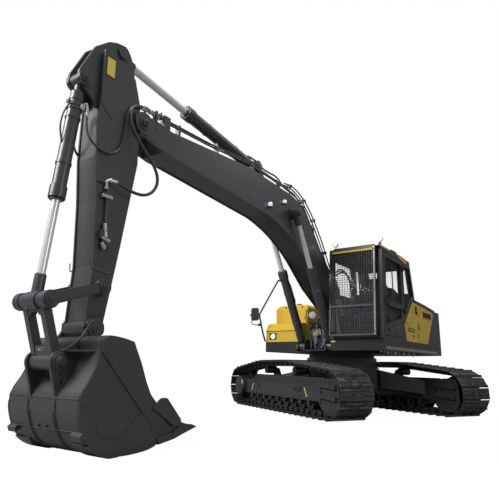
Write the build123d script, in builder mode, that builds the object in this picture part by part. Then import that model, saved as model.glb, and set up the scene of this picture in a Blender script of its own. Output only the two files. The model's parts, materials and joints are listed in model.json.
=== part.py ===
"""Crawler excavator of the 22 tonne class, in millimetres.

+X points forward along the boom, +Y to the operator's left, +Z up.
The origin is on the ground, on the axis that the upper structure swings about.
"""

import os
from math import atan2, cos, degrees, hypot, radians, sin

from build123d import *

os.makedirs("parts", exist_ok=True)

# ------------------------------------------------------------------ driving dimensions
crawler_turn = 58.35        # degrees that the crawler points to the left of the boom
track_gauge = 2390
shoe_width = 600
shoe_count = 49
sprocket_x = -1850          # along the crawler
idler_x = 1800
wheel_z = 400
rail_inner_r = 280          # the wheels' tread, on which the link rails run
link_height = 82
shoe_thickness = 12
grouser_height = 26
carrier_x = (-750, 420)
carrier_z = 742
carrier_r = 70
roller_r = 90
roller_count = 9
frame_wall = 15             # side frame's web plates
frame_half = 165            # half the width of a side frame
seat_gap = 0.3              # between pieces that touch in the real machine
pin_clearance = 0.05
side_gap = 1.0              # between a link and the ear beside it
knuckle_r = 11
knuckle_pin_r = 5
knuckle_height = 50
knuckle_out = 16            # a hinge's axis lies this far outside the panel's face

swing_ring_r = 680
swing_ring_top = 985
deck_bottom = 1090
deck_top = 1290
deck_half = 1350
deck_front = 1277
engine_rear = -1998
channel_half = 378          # the boom's channel between the cab and the right-hand deck
tail_radius = 2750
tail_top = 2035
wing_inner = 1078

boom_half = 200
arm_half = 165
cylinder_y = 287            # the boom cylinders stand this far each side of the boom

# pins, as (x, z)
boom_foot = (263, 1872)
boom_ram_foot = (1040, 1170)
boom_ram_eye = (2330, 3350)
boom_tip = (5730, 3505)
arm_ram_foot = (3200, 3920)
arm_ram_eye = (6010, 4310)
bucket_ram_foot = (6460, 3740)
rocker_pivot = (6110, 1550)
bucket_pivot = (6145, 1140)
link_foot = (6490, 820)
link_top = (6675, 1365)

bucket_half = 580


# ------------------------------------------------------------------ planes and shapes
turn_cos = cos(radians(crawler_turn))
turn_sin = sin(radians(crawler_turn))


def beside(y):
    """The upright plane at y, seen from the machine's right: local x is X, local y is Z."""
    return Plane(origin=(0, y, 0), x_dir=(1, 0, 0), z_dir=(0, -1, 0))


def along_track(side):
    """The crawler's upright plane, side millimetres left of its middle."""
    place = (-side * turn_sin, side * turn_cos, 0)
    return Plane(origin=place, x_dir=(turn_cos, turn_sin, 0), z_dir=(turn_sin, -turn_cos, 0))


def over_ground(height):
    """The crawler's level plane at this height."""
    return Plane(origin=(0, 0, height), x_dir=(turn_cos, turn_sin, 0), z_dir=(0, 0, 1))


def through_axle(x, side, z):
    """The upright plane through an axle: local x runs along the axle, local y up."""
    place = (x * turn_cos - side * turn_sin, x * turn_sin + side * turn_cos, z)
    return Plane(origin=place, x_dir=(-turn_sin, turn_cos, 0), z_dir=(turn_cos, turn_sin, 0))


def turned_wheel(x, side, z, profile):
    """A turned piece on the crawler: profile rows are (place along the axle, radius)."""
    plane = through_axle(x, side, z)
    with BuildPart() as wheel:
        with BuildSketch(plane):
            with BuildLine():
                Polyline((profile[0][0], 0), *profile, (profile[-1][0], 0), close=True)
            make_face()
        revolve(axis=Axis(plane.origin, plane.x_dir))
    return wheel.part


def drum(place, radius, y_from, y_to, bore=0):
    """A round piece along Y at place (x, z), with a bore where one is given."""
    with BuildPart() as piece:
        with BuildSketch(beside(y_from)):
            with Locations(place):
                Circle(radius)
                if bore:
                    Circle(bore, mode=Mode.SUBTRACT)
        extrude(amount=y_from - y_to)
    return piece.part


def pin_cap(place, y_from, radius):
    """A stepped cap that keeps a pin in its boss, outside y_from on its own side."""
    hand = 1 if y_from > 0 else -1
    middle = y_from + hand * 13
    with BuildPart() as cap:
        add(drum(place, radius, y_from, middle))
        add(drum(place, radius * 0.62, middle, middle + hand * 12))
    return cap.part


def slab(outline, y_from, y_to):
    """A plate with this (x, z) outline between two values of y."""
    with BuildPart() as plate:
        with BuildSketch(beside(y_from)):
            with BuildLine():
                Polyline(*outline, close=True)
            make_face()
        extrude(amount=y_from - y_to)
    return plate.part


def block(x_from, x_to, y_from, y_to, z_from, z_to):
    """A block between these limits."""
    with BuildPart() as piece:
        with BuildSketch(Plane.XY.offset(z_from)):
            with Locations(((x_from + x_to) / 2, (y_from + y_to) / 2)):
                Rectangle(abs(x_to - x_from), abs(y_to - y_from))
        extrude(amount=z_to - z_from)
    return piece.part


def knuckle(x, y, z_from, z_to, wall_x, wall_y, bore=0):
    """An upright hinge knuckle at (x, y), held by a leaf that reaches back to (wall_x, wall_y)."""
    with BuildPart() as piece:
        with BuildSketch(Plane.XY.offset(z_from)):
            with Locations((x, y)):
                Circle(knuckle_r)
            with Locations(((x + wall_x) / 2, (y + wall_y) / 2)):
                Rectangle(abs(wall_x - x), abs(wall_y - y))
            if bore:
                with Locations((x, y)):
                    Circle(bore, mode=Mode.SUBTRACT)
        extrude(amount=z_to - z_from)
    return piece.part


def ram_plane(foot, eye, y):
    """The plane of a cylinder: local x runs from its foot to its eye."""
    span = hypot(eye[0] - foot[0], eye[1] - foot[1])
    way = ((eye[0] - foot[0]) / span, 0, (eye[1] - foot[1]) / span)
    return Plane(origin=(foot[0], y, foot[1]), x_dir=way, z_dir=(0, -1, 0))


def ram_span(foot, eye):
    return hypot(eye[0] - foot[0], eye[1] - foot[1])


def ram_barrel(foot, eye, y, half, length, radius, bore, pin_r, eye_r):
    """A cylinder barrel: foot eye, tube, flanged gland and oil ports."""
    plane = ram_plane(foot, eye, y)
    gland = 90
    wall = radius - 18
    with BuildPart() as barrel:
        with BuildSketch(plane):
            with BuildLine():
                Polyline((0, 0), (0, radius * 0.6), (eye_r + 45, radius * 0.66), (eye_r + 75, radius),
                         (length - gland, radius), (length - gland, radius + 6), (length - 18, radius + 6),
                         (length - 18, radius - 6), (length, radius - 6), (length, 0), close=True)
            make_face()
        revolve(axis=Axis(plane.origin, plane.x_dir))
        with BuildSketch(plane):
            Circle(eye_r)
        extrude(amount=half, both=True)
        with BuildSketch(plane):
            with BuildLine():
                Polyline((eye_r + 60, 0), (eye_r + 60, wall), (length - gland, wall),
                         (length - gland, bore), (length + 1, bore), (length + 1, 0), close=True)
            make_face()
        revolve(axis=Axis(plane.origin, plane.x_dir), mode=Mode.SUBTRACT)
        with BuildSketch(plane):
            Circle(pin_r + pin_clearance)
        extrude(amount=radius, both=True, mode=Mode.SUBTRACT)
    return barrel.part


def ram_rod(foot, eye, y, half, length, radius, eye_r, bore):
    """A cylinder rod with its eye at the rest position."""
    plane = ram_plane(foot, eye, y)
    span = ram_span(foot, eye)
    with BuildPart() as rod:
        with BuildSketch(plane):
            with BuildLine():
                Polyline((span - length, 0), (span - length, radius), (span - eye_r - 70, radius),
                         (span - eye_r - 60, radius + 9), (span - eye_r + 10, radius + 12),
                         (span, radius + 10), (span, 0), close=True)
            make_face()
        revolve(axis=Axis(plane.origin, plane.x_dir))
        with BuildSketch(plane):
            with Locations((span, 0)):
                Circle(eye_r)
        extrude(amount=half, both=True)
        if bore:
            with BuildSketch(plane):
                with Locations((span, 0)):
                    Circle(bore)
            extrude(amount=half + 1, both=True, mode=Mode.SUBTRACT)
    return rod.part


def keep(node, name):
    """Label a finished piece and write its file."""
    node.part.label = name
    export_step(node.part, f"parts/{name}.step")


# ------------------------------------------------------------------ tracks
band = link_height + shoe_thickness + grouser_height
wheels = [                  # (along, up, tread radius) of what the link rails run round
    (sprocket_x, wheel_z, rail_inner_r),
    (carrier_x[0], carrier_z, carrier_r),
    (carrier_x[1], carrier_z, carrier_r),
    (idler_x, wheel_z, rail_inner_r),
]
grouser_places = (0.14, 0.5, 0.86)
grouser_base = 15
grouser_tip = 7


def loop_around(reach):
    """The belt line that lies this far outside the wheels' treads."""
    with BuildSketch() as belt:
        for x, z, r in wheels:
            with Locations((x, z)):
                Circle(r + reach)
        make_hull()
    return belt.sketch.face()


def stations(reach):
    """The shoes' ends on the belt line at this reach."""
    wire = loop_around(reach).outer_wire()
    return [wire.position_at(n / shoe_count) for n in range(shoe_count)]


def shoe_outline():
    """Outline of all shoes with three grousers each, outside the belt line."""
    ends = stations(link_height)
    if ends[0].X * ends[1].Y - ends[1].X * ends[0].Y > 0:
        ends.reverse()
    points = []
    for start, end in zip(ends, ends[1:] + ends[:1]):
        along = (end - start).normalized()
        out = Vector(-along.Y, along.X)
        for share in grouser_places:
            middle = start + (end - start) * share
            foot = out * shoe_thickness
            crest = out * (shoe_thickness + grouser_height)
            points += [middle - along * grouser_base + foot, middle - along * grouser_tip + crest,
                       middle + along * grouser_tip + crest, middle + along * grouser_base + foot]
    return [(p.X, p.Y) for p in points]


shoe_points = shoe_outline()
inner_points = [(p.X, p.Y) for p in stations(link_height)]
rail_offsets = (-80, 80)
rail_half = 20

for side_name, side in (("right", -track_gauge / 2), ("left", track_gauge / 2)):
    with BuildPart() as track:
        with BuildSketch(along_track(side)):
            with BuildLine():
                Polyline(*shoe_points, close=True)
            make_face()
            with BuildLine():
                Polyline(*inner_points, close=True)
            make_face(mode=Mode.SUBTRACT)
        extrude(amount=shoe_width / 2, both=True)
        for offset_side in rail_offsets:
            with BuildSketch(along_track(side + offset_side)):
                add(loop_around(link_height + 1))
                add(loop_around(0), mode=Mode.SUBTRACT)
            extrude(amount=rail_half, both=True)
    keep(track, f"track_{side_name}")

# ------------------------------------------------------------------ side frames
frame_bottom = 325
frame_top = 640
web_foot = 265              # lower edge of the side frames' webs
shoulder_z = 538            # the top plate slopes from here up to frame_top
shoulder_in = 110
roller_z = band + roller_r + seat_gap
roller_start = -1330
roller_pitch = 290
shaft_r = 30
hub_mount_r = 245
yoke_half = frame_half + 10

beam_outline = [(-1500, web_foot), (1330, web_foot), (1330, frame_top), (-1380, frame_top), (-1500, 560)]
web_panel = [(-1635, web_foot), (1320, web_foot), (1320, shoulder_z), (-1615, shoulder_z)]
yoke_outline = [(1290, web_foot), (1350, web_foot), (1430, 156), (1660, 76), (1900, 97), (1930, 180),
                (1935, 560), (1900, 635), (1290, 635)]
bracket_outline = [(-62, web_foot + 10), (-62, 225), (-26, 168), (26, 168), (62, 225), (62, web_foot + 10)]

for side_name, side in (("right", -track_gauge / 2), ("left", track_gauge / 2)):
    outer = 1 if side > 0 else -1
    with BuildPart() as side_frame:
        with BuildSketch(along_track(side)):
            with BuildLine():
                Polyline(*beam_outline, close=True)
            make_face()
        extrude(amount=frame_half, both=True)
        with BuildSketch(along_track(side + outer * (frame_half - frame_wall / 2))):
            with BuildLine():
                Polyline(*web_panel, close=True)
            make_face()
        extrude(amount=frame_wall / 2, both=True)
        with BuildSketch(over_ground(shoulder_z)):
            with Locations((-1000, side + outer * frame_half)):
                Rectangle(6000, 2 * shoulder_in)
        with BuildSketch(over_ground(frame_top + 1)):
            with Locations((-1000, side + outer * (frame_half + shoulder_in))):
                Rectangle(6000, 4 * shoulder_in)
        loft(mode=Mode.SUBTRACT)
        with BuildSketch(along_track(side)):
            with Locations((0, frame_bottom / 2)):
                Rectangle(6000, frame_bottom)
        extrude(amount=frame_half - frame_wall, both=True, mode=Mode.SUBTRACT)
        for wall in (-1, 1):
            with BuildSketch(along_track(side + wall * (frame_half - frame_wall / 2))):
                for n in range(roller_count):
                    x = roller_start + n * roller_pitch
                    with BuildLine():
                        Polyline(*[(x + a, z) for a, z in bracket_outline], close=True)
                    make_face()
            extrude(amount=frame_wall / 2, both=True)
        for flange_z in (web_foot + 9, shoulder_z - 9):
            with BuildSketch(along_track(side + outer * (frame_half + 6))):
                with Locations((-158, flange_z)):
                    Rectangle(2940, 18)
            extrude(amount=6, both=True)
        for ear in (-1, 1):
            with BuildSketch(along_track(side + ear * (yoke_half - frame_wall))):
                with BuildLine():
                    Polyline(*yoke_outline, close=True)
                make_face()
            extrude(amount=frame_wall, both=True)
            for rib_z in (355, 512):
                with BuildSketch(along_track(side + ear * (yoke_half + 12))):
                    with Locations((1585, rib_z)):
                        Rectangle(480, 30)
                extrude(amount=12, both=True)
        with BuildSketch(along_track(side - outer * (frame_half - 20))):
            with Locations((sprocket_x, wheel_z)):
                Circle(hub_mount_r)
            with BuildLine():
                Polyline((sprocket_x, wheel_z - hub_mount_r), (-1400, 270), (-1400, frame_top),
                         (sprocket_x, wheel_z + hub_mount_r), close=True)
            make_face()
        extrude(amount=20, both=True)
        for x in carrier_x:
            with BuildSketch(along_track(side - outer * (frame_half - 20))):
                with BuildLine():
                    Polyline((x - 150, frame_top - 5), (x - 50, carrier_z + 35), (x + 50, carrier_z + 35),
                             (x + 150, frame_top - 5), close=True)
                make_face()
            extrude(amount=20, both=True)
    keep(side_frame, f"side_frame_{side_name}")

yoke_inner = yoke_half - 2 * frame_wall
roller_inner = frame_half - frame_wall
roller_profile = [(-roller_inner, shaft_r), (-118, shaft_r), (-118, 104), (-103, 104), (-101, roller_r),
                  (101, roller_r), (103, 104), (118, 104), (118, shaft_r), (roller_inner, shaft_r)]
idler_profile = [(-yoke_inner, 45), (-110, 45), (-110, 90), (-60, 90), (-60, 235), (-103, 240),
                 (-103, rail_inner_r - seat_gap), (-50, rail_inner_r - seat_gap), (-46, 300), (46, 300),
                 (50, rail_inner_r - seat_gap), (103, rail_inner_r - seat_gap), (103, 240), (60, 235),
                 (60, 90), (110, 90), (110, 45), (yoke_inner, 45)]
with BuildPart() as lower_rollers:
    for side in (-track_gauge / 2, track_gauge / 2):
        for n in range(roller_count):
            add(turned_wheel(roller_start + n * roller_pitch, side, roller_z, roller_profile))
keep(lower_rollers, "lower_rollers")

with BuildPart() as idlers:
    for side in (-track_gauge / 2, track_gauge / 2):
        add(turned_wheel(idler_x, side, wheel_z, idler_profile))
keep(idlers, "idlers")

carrier_tread = carrier_r - seat_gap
with BuildPart() as carrier_rollers:
    for side in (-track_gauge / 2, track_gauge / 2):
        outer = 1 if side > 0 else -1
        bracket_face = -outer * (frame_half - 40)
        rim = outer * 110
        for x in carrier_x:
            profile = [(bracket_face, 32), (-rim, 32), (-rim, carrier_tread), (rim, carrier_tread),
                       (rim, 40), (rim + outer * 20, 34)]
            add(turned_wheel(x, side, carrier_z, profile))
keep(carrier_rollers, "carrier_rollers")

tooth_count = 21
with BuildPart() as sprockets:
    for side in (-track_gauge / 2, track_gauge / 2):
        with BuildSketch(along_track(side)):
            with Locations((sprocket_x, wheel_z)):
                Circle(300)
                with PolarLocations(318, tooth_count):
                    Rectangle(54, 34)
                Circle(205 + seat_gap, mode=Mode.SUBTRACT)
        extrude(amount=28, both=True)
keep(sprockets, "sprockets")

with BuildPart() as final_drives:
    for side in (-track_gauge / 2, track_gauge / 2):
        outer = 1 if side > 0 else -1
        hub = [(-125, 215), (-40, 215), (-40, 205), (40, 205), (40, 222), (70, 222), (70, 200),
               (235, 200), (262, 178), (275, 120)]
        add(turned_wheel(sprocket_x, side, wheel_z, [(outer * a, r) for a, r in hub]))
        motor = [(-205 - seat_gap, 150), (-310, 150), (-330, 130)]
        add(turned_wheel(sprocket_x, side, wheel_z, [(outer * a + outer * 40, r) for a, r in motor]))
keep(final_drives, "final_drives")

# ------------------------------------------------------------------ carbody
leg_root = 450
leg_reach = track_gauge / 2 - frame_half
with BuildPart() as carbody:
    with BuildSketch(over_ground(430)):
        with BuildLine():
            Polyline((-700, -300), (-450, -560), (450, -560), (700, -300), (700, 300), (450, 560),
                     (-450, 560), (-700, 300), close=True)
        make_face()
    extrude(amount=370)
    with BuildSketch(over_ground(800)):
        Circle(swing_ring_r + 20)
    extrude(amount=60)
    for way in (-1, 1):
        for hand in (-1, 1):
            with BuildSketch(along_track(hand * leg_root)):
                with Locations((way * 390, 600)):
                    Rectangle(460, 330)
            with BuildSketch(along_track(hand * leg_reach)):
                with Locations((way * 900, 470)):
                    Rectangle(520, 240)
            loft()
keep(carbody, "carbody")

with BuildPart() as swing_ring:
    with BuildSketch(over_ground(860)):
        Circle(swing_ring_r)
        Circle(swing_ring_r - 130, mode=Mode.SUBTRACT)
    extrude(amount=swing_ring_top - 860)
keep(swing_ring, "swing_ring")

# ------------------------------------------------------------------ upper deck
web_inner = boom_half + 6
web_outer = web_inner + 16
lug_inner = cylinder_y + 56
lug_outer = channel_half
web_top = 1380
deck_plate = 30
plate_top = deck_bottom + deck_plate + seat_gap
slot_x = 895                # the plate is slotted from here on for the boom cylinders' lugs
web_outline = [(-1900, plate_top), (-1900, web_top), (-640, web_top), (60, 1980), (160, 2040), (360, 2050),
               (440, 1960), (700, 1480), (930, 1300), (1080, 1285), (1150, 1220), (1170, 1110),
               (1120, deck_bottom), (slot_x + seat_gap, deck_bottom), (slot_x + seat_gap, plate_top)]
lug_outline = [(slot_x + seat_gap, deck_bottom), (930, 1240), (985, 1275), (1090, 1275), (1150, 1215),
               (1165, 1130), (1130, deck_bottom)]

tongue_half = web_inner - seat_gap
with BuildPart() as deck_frame:
    with BuildSketch(Plane.XY.offset(deck_bottom)):
        with BuildLine():
            Polyline((1150, -tongue_half), (1150, tongue_half), (slot_x, tongue_half),
                     (slot_x, channel_half),
                     (-1320, channel_half), (-1320, wing_inner), (engine_rear, wing_inner),
                     (engine_rear, -wing_inner), (-1320, -wing_inner), (-1320, -channel_half),
                     (slot_x, -channel_half), (slot_x, -tongue_half), close=True)
        make_face()
    extrude(amount=deck_plate)
    with BuildSketch(Plane.XY.offset(swing_ring_top + 0.5)):
        Circle(swing_ring_r - 40)
        Circle(swing_ring_r - 200, mode=Mode.SUBTRACT)
    extrude(amount=deck_bottom - swing_ring_top - 0.5)
keep(deck_frame, "deck_frame")

deck_inner = channel_half + seat_gap
with BuildPart() as side_decks:
    for hand, front in ((-1, 700), (1, deck_front)):
        with BuildSketch(Plane.XY.offset(deck_bottom + seat_gap)):
            with Locations(((front - 1320 + seat_gap) / 2, hand * (deck_inner + deck_half) / 2)):
                Rectangle(front + 1320 - seat_gap, deck_half - deck_inner)
        extrude(amount=deck_top - deck_bottom - seat_gap)
        for x in (-900, -180, 560)[:2 if hand < 0 else 3]:
            with BuildSketch(Plane.XY.offset(deck_bottom)):
                with Locations((x, hand * 870)):
                    Rectangle(640, 760)
            extrude(amount=deck_top - deck_bottom - 25, mode=Mode.SUBTRACT)
keep(side_decks, "side_decks")

with BuildPart() as boom_bracket:
    for hand in (-1, 1):
        add(slab(web_outline, hand * web_inner, hand * web_outer))
        add(slab(lug_outline, hand * lug_inner, hand * lug_outer))
        add(drum(boom_foot, 130, hand * web_outer, hand * (web_outer + 22)))
    with BuildSketch(beside(0)):
        with Locations(boom_foot, boom_ram_foot):
            Circle(50)
    extrude(amount=deck_half, both=True, mode=Mode.SUBTRACT)
keep(boom_bracket, "boom_bracket")

with BuildPart() as frame_pins:
    add(drum(boom_foot, 50 - pin_clearance, -web_outer - 40, web_outer + 40))
    for hand in (-1, 1):
        add(drum(boom_ram_foot, 50 - pin_clearance, hand * (web_inner - 5), hand * lug_outer))
keep(frame_pins, "frame_pins")

# ------------------------------------------------------------------ counterweight
with BuildPart() as counterweight:
    with BuildSketch(Plane.XY.offset(deck_bottom - 5)):
        Circle(tail_radius)
        with Locations((tail_radius - 1325, 0)):
            Rectangle(2 * tail_radius, 4 * tail_radius, mode=Mode.SUBTRACT)
        with Locations((-2000, 0)):
            Rectangle(2000, 2 * deck_half, mode=Mode.INTERSECT)
        with Locations((engine_rear + 1000 - seat_gap, 0)):
            Rectangle(2000, 2 * (wing_inner + seat_gap), mode=Mode.SUBTRACT)
    extrude(amount=tail_top - deck_bottom + 5)
    with BuildSketch(beside(0)):
        with BuildLine():
            Polyline((-1345, deck_bottom - 5), (-1357, deck_top), (-1950, 1975), (-2068, tail_top),
                     (-2640, tail_top), (-2770, 1900), (-2770, 1300), (-2640, deck_bottom - 5), close=True)
        make_face()
    extrude(amount=2000, both=True, mode=Mode.INTERSECT)
keep(counterweight, "counterweight")

# ------------------------------------------------------------------ cab
cab_right = channel_half + 2
cab_left = deck_half
cab_wall = 50
cab_floor = deck_top
cab_roof = 2870
cab_outline = [(1305, cab_floor), (1180, cab_roof), (-370, cab_roof), (-595, 2110), (-423, 2087),
               (158, 1593), (72, cab_floor)]
cab_inner = [(1250, cab_floor + cab_wall), (1130, cab_roof - 60), (-330, cab_roof - 60), (-535, 2150),
             (-405, 2135), (208, 1625), (130, cab_floor + cab_wall)]
door_gap = 8
hinge_x = 108
hinge_y = cab_left + knuckle_out
hinge_heights = (1790, 2600)
door_outline = [(1215, 1345), (1100, 2790), (120, 2790), (120, 1700), (230, 1610), (230, 1345)]
door_low_window = [(1100, 1545), (1085, 1862), (290, 1858), (290, 1692)]
door_high_window = [(1095, 1968), (1020, 2712), (225, 2712), (225, 1950)]
quarter_window = [(75, 2710), (-325, 2710), (-465, 2190), (-300, 2130), (20, 1880), (75, 1880)]
right_window = [(1150, 1950), (1090, 2760), (-280, 2760), (-430, 2200), (200, 1950)]

with BuildPart() as cab_shell:
    add(slab(cab_outline, cab_right, cab_left))
    add(slab(cab_inner, cab_right + cab_wall, cab_left - cab_wall), mode=Mode.SUBTRACT)
    with BuildSketch(beside(cab_left + 5)):
        with BuildLine():
            Polyline(*door_outline, close=True)
        make_face()
        offset(amount=door_gap, kind=Kind.INTERSECTION)
        with BuildLine():
            Polyline(*quarter_window, close=True)
        make_face()
    extrude(amount=cab_wall + 10, mode=Mode.SUBTRACT)
    with BuildSketch(beside(cab_right - 5)):
        with BuildLine():
            Polyline(*right_window, close=True)
        make_face()
    extrude(amount=-cab_wall - 10, mode=Mode.SUBTRACT)
    with BuildSketch(Plane.YZ.offset(1000)):
        with Locations(((cab_left + cab_right) / 2, 2080)):
            Rectangle(cab_left - cab_right - 150, 1420)
    extrude(amount=400, mode=Mode.SUBTRACT)
    with BuildSketch(Plane.YZ.offset(-300)):
        with Locations(((cab_left + cab_right) / 2, 2460)):
            Rectangle(cab_left - cab_right - 200, 520)
    extrude(amount=-400, mode=Mode.SUBTRACT)
    for z in hinge_heights:
        add(knuckle(hinge_x, hinge_y, z, z + knuckle_height, hinge_x - 50, cab_left))
        with BuildSketch(Plane.XY.offset(z)):
            with Locations((hinge_x, hinge_y)):
                Circle(knuckle_pin_r)
        extrude(amount=2 * knuckle_height)
keep(cab_shell, "cab_shell")

with BuildPart() as cab_roof_cap:
    with BuildSketch(Plane.XY.offset(cab_roof)):
        with Locations(((1170 - 360) / 2, (cab_left + cab_right) / 2)):
            RectangleRounded(1530, cab_left - cab_right - 10, 90)
    with BuildSketch(Plane.XY.offset(cab_roof + 75)):
        with Locations(((1100 - 280) / 2, (cab_left + cab_right) / 2)):
            RectangleRounded(1380, cab_left - cab_right - 130, 80)
    loft()
keep(cab_roof_cap, "cab_roof")

with BuildPart() as roof_hatch:
    with BuildSketch(Plane.XY.offset(cab_roof + 75 + seat_gap)):
        with Locations((430, (cab_left + cab_right) / 2)):
            RectangleRounded(520, 640, 70)
    extrude(amount=32, taper=20)
keep(roof_hatch, "roof_hatch")

glass = 6
front_slope = degrees(atan2(125, cab_roof - cab_floor))
with BuildPart() as cab_windows:
    add(slab(right_window, cab_right + 20, cab_right + 20 + glass))
    add(slab(quarter_window, cab_left - 20, cab_left - 20 - glass))
    add(slab([(1285, 1370.3), (1279, 1370.3), (1166, 2789.7), (1172, 2789.7)],
             cab_right + 75 + seat_gap, cab_left - 75 - seat_gap))
    add(slab([(-401, 2719.7), (-395, 2719.7), (-506, 2200.3), (-512, 2200.3)],
             cab_right + 100 + seat_gap, cab_left - 100 - seat_gap))
keep(cab_windows, "cab_windows")

with BuildPart() as cab_door:
    add(slab(door_outline, cab_left - cab_wall, cab_left))
    add(slab(door_low_window, cab_left - cab_wall - 1, cab_left + 1), mode=Mode.SUBTRACT)
    add(slab(door_high_window, cab_left - cab_wall - 1, cab_left + 1), mode=Mode.SUBTRACT)
    for z in hinge_heights:
        bottom = z + knuckle_height + seat_gap
        add(knuckle(hinge_x, hinge_y, bottom, bottom + knuckle_height, hinge_x + 60, cab_left,
                    knuckle_pin_r + pin_clearance))
    with BuildSketch(Plane.XY.offset(2020)):
        with Locations((1040, cab_left + 40)):
            Circle(11)
    extrude(amount=-160)
    add(block(1029, 1051, cab_left, cab_left + 45, 1860, 1880))
    add(block(1029, 1051, cab_left, cab_left + 45, 2000, 2020))
keep(cab_door, "cab_door")

with BuildPart() as door_windows:
    add(slab(door_low_window, cab_left - 25, cab_left - 25 - glass))
    add(slab(door_high_window, cab_left - 25, cab_left - 25 - glass))
keep(door_windows, "door_windows")

seat_y = (cab_left + cab_right) / 2
seat_floor = cab_floor + cab_wall
with BuildPart() as seat:
    add(slab([(300, 1640), (300, 1760), (780, 1790), (800, 1700), (780, 1640)], seat_y - 250, seat_y + 250))
    add(slab([(220, 1740), (350, 1762), (270, 2330), (180, 2330)], seat_y - 240, seat_y + 240))
    add(slab([(190, 2345), (265, 2345), (255, 2540), (185, 2540)], seat_y - 130, seat_y + 130))
    add(slab([(205, 2320), (245, 2320), (240, 2360), (205, 2360)], seat_y - 70, seat_y + 70))
keep(seat, "seat")

with BuildPart() as cab_console:
    add(block(320, 760, seat_y - 200, seat_y + 200, seat_floor, 1639.7))
    for hand in (-1, 1):
        add(slab([(330, 1560), (330, 1800), (760, 1860), (820, 1800), (800, 1700), (500, 1560)],
                 seat_y + hand * 270, seat_y + hand * 400))
        add(block(360, 700, seat_y + hand * 199, seat_y + hand * 271, 1570, 1620))
        add(slab([(745, 1820), (785, 1820), (790, 2010), (765, 2030), (740, 2010)],
                 seat_y + hand * 320, seat_y + hand * 350))
        add(slab([(1000, seat_floor), (1060, seat_floor), (1010, 1750), (985, 1750)],
                 seat_y + hand * 60, seat_y + hand * 80))
        add(slab([(960, seat_floor), (1150, seat_floor), (1160, 1420), (960, 1370)],
                 seat_y + hand * 40, seat_y + hand * 150))
keep(cab_console, "cab_console")

# ------------------------------------------------------------------ front guard
guard_plane_turn = radians(front_slope)
guard_origin = (1395, 0, 1330)
guard_plane = Plane(origin=guard_origin, x_dir=(0, 1, 0),
                    z_dir=(cos(guard_plane_turn), 0, sin(guard_plane_turn)))
guard_right = 412
guard_left = 1266
guard_height = 1555
guard_rail = 510            # height of the middle rail
guard_tube = 36
guard_wire = 7
cells_across = 22
cells_up = 35
with BuildPart() as front_guard:
    middle = (guard_left + guard_right) / 2
    with BuildSketch(guard_plane):
        with Locations((middle, guard_height / 2)):
            Rectangle(guard_left - guard_right, guard_height)
            Rectangle(guard_left - guard_right - 2 * guard_tube, guard_height - 2 * guard_tube,
                      mode=Mode.SUBTRACT)
        with Locations((middle, guard_rail)):
            Rectangle(guard_left - guard_right - guard_tube, 24)
    extrude(amount=guard_tube / 2, both=True)
    with BuildSketch(guard_plane.offset(guard_wire / 2 + 0.5)):
        with Locations((middle, guard_height / 2)):
            with GridLocations((guard_left - guard_right - 2 * guard_tube) / cells_across, 1,
                               cells_across - 1, 1):
                Rectangle(guard_wire, guard_height - guard_tube)
    extrude(amount=guard_wire / 2, both=True)
    with BuildSketch(guard_plane.offset(-guard_wire / 2 - 0.5)):
        with Locations((middle, guard_height / 2)):
            with GridLocations(1, (guard_height - 2 * guard_tube) / cells_up, 1, cells_up - 1):
                Rectangle(guard_left - guard_right - guard_tube, guard_wire)
    extrude(amount=guard_wire / 2, both=True)
    for y in (guard_right + 20, guard_left - 20):
        for up in (60, 760, guard_height - 60):
            with BuildSketch(guard_plane.offset(-guard_tube / 2)):
                with Locations((y, up)):
                    Rectangle(30, 60)
            extrude(amount=-74.5)
keep(front_guard, "front_guard")

lamp_x = 1050
lamp_foot = cab_roof + 75 + seat_gap
with BuildPart() as cab_lamps:
    for y, inward in ((430, 1), (1292, -1)):
        add(block(lamp_x - 12, lamp_x + 12, y - 8, y + inward * 70, lamp_foot, lamp_foot + 10))
        with BuildSketch(Plane.XY.offset(lamp_foot)):
            with Locations((lamp_x, y)):
                Circle(9)
        extrude(amount=50)
        with BuildSketch(Plane.YZ.offset(lamp_x - 35)):
            with Locations((y, lamp_foot + 90)):
                Circle(50)
        extrude(amount=70, taper=-6)
keep(cab_lamps, "cab_lamps")

# ------------------------------------------------------------------ right-hand deck
box_right = -deck_half + 10
box_left = -590
box_rear = 335
tank_front = 300
tank_rear = -735
tank_top = 2070
panel_hinge_heights = (1400, 1850)
lid_hinge = (322, 1672)
lid_hinge_places = (-1260, -800)
with BuildPart() as toolbox:
    add(slab([(705, deck_top), (690, 1505), (580, 1632), (box_rear, 1658), (box_rear, deck_top)],
             box_right, box_left))
    add(slab([(675, deck_top + 25), (660, 1520), (560, 1700), (box_rear + 30, 1700),
              (box_rear + 30, deck_top + 25)],
             box_right + 25, box_left - 25), mode=Mode.SUBTRACT)
    for y in lid_hinge_places:
        add(slab([(box_rear, 1580), (box_rear, 1655), (lid_hinge[0] + 9, lid_hinge[1]),
                  (lid_hinge[0] - 9, lid_hinge[1]), (lid_hinge[0] - 9, 1600)], y, y + knuckle_height))
        add(drum(lid_hinge, knuckle_r, y, y + knuckle_height))
        add(drum(lid_hinge, knuckle_pin_r, y, y + 2 * knuckle_height))
    with BuildSketch(Plane.YZ.offset(690)):
        with Locations((-1140, 1395)):
            Rectangle(250, 130)
    extrude(amount=60, mode=Mode.SUBTRACT)
    with BuildSketch(Plane.YZ.offset(675)):
        with Locations((-1140, 1395)):
            Rectangle(290, 170)
    extrude(amount=14)
keep(toolbox, "toolbox")

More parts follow.
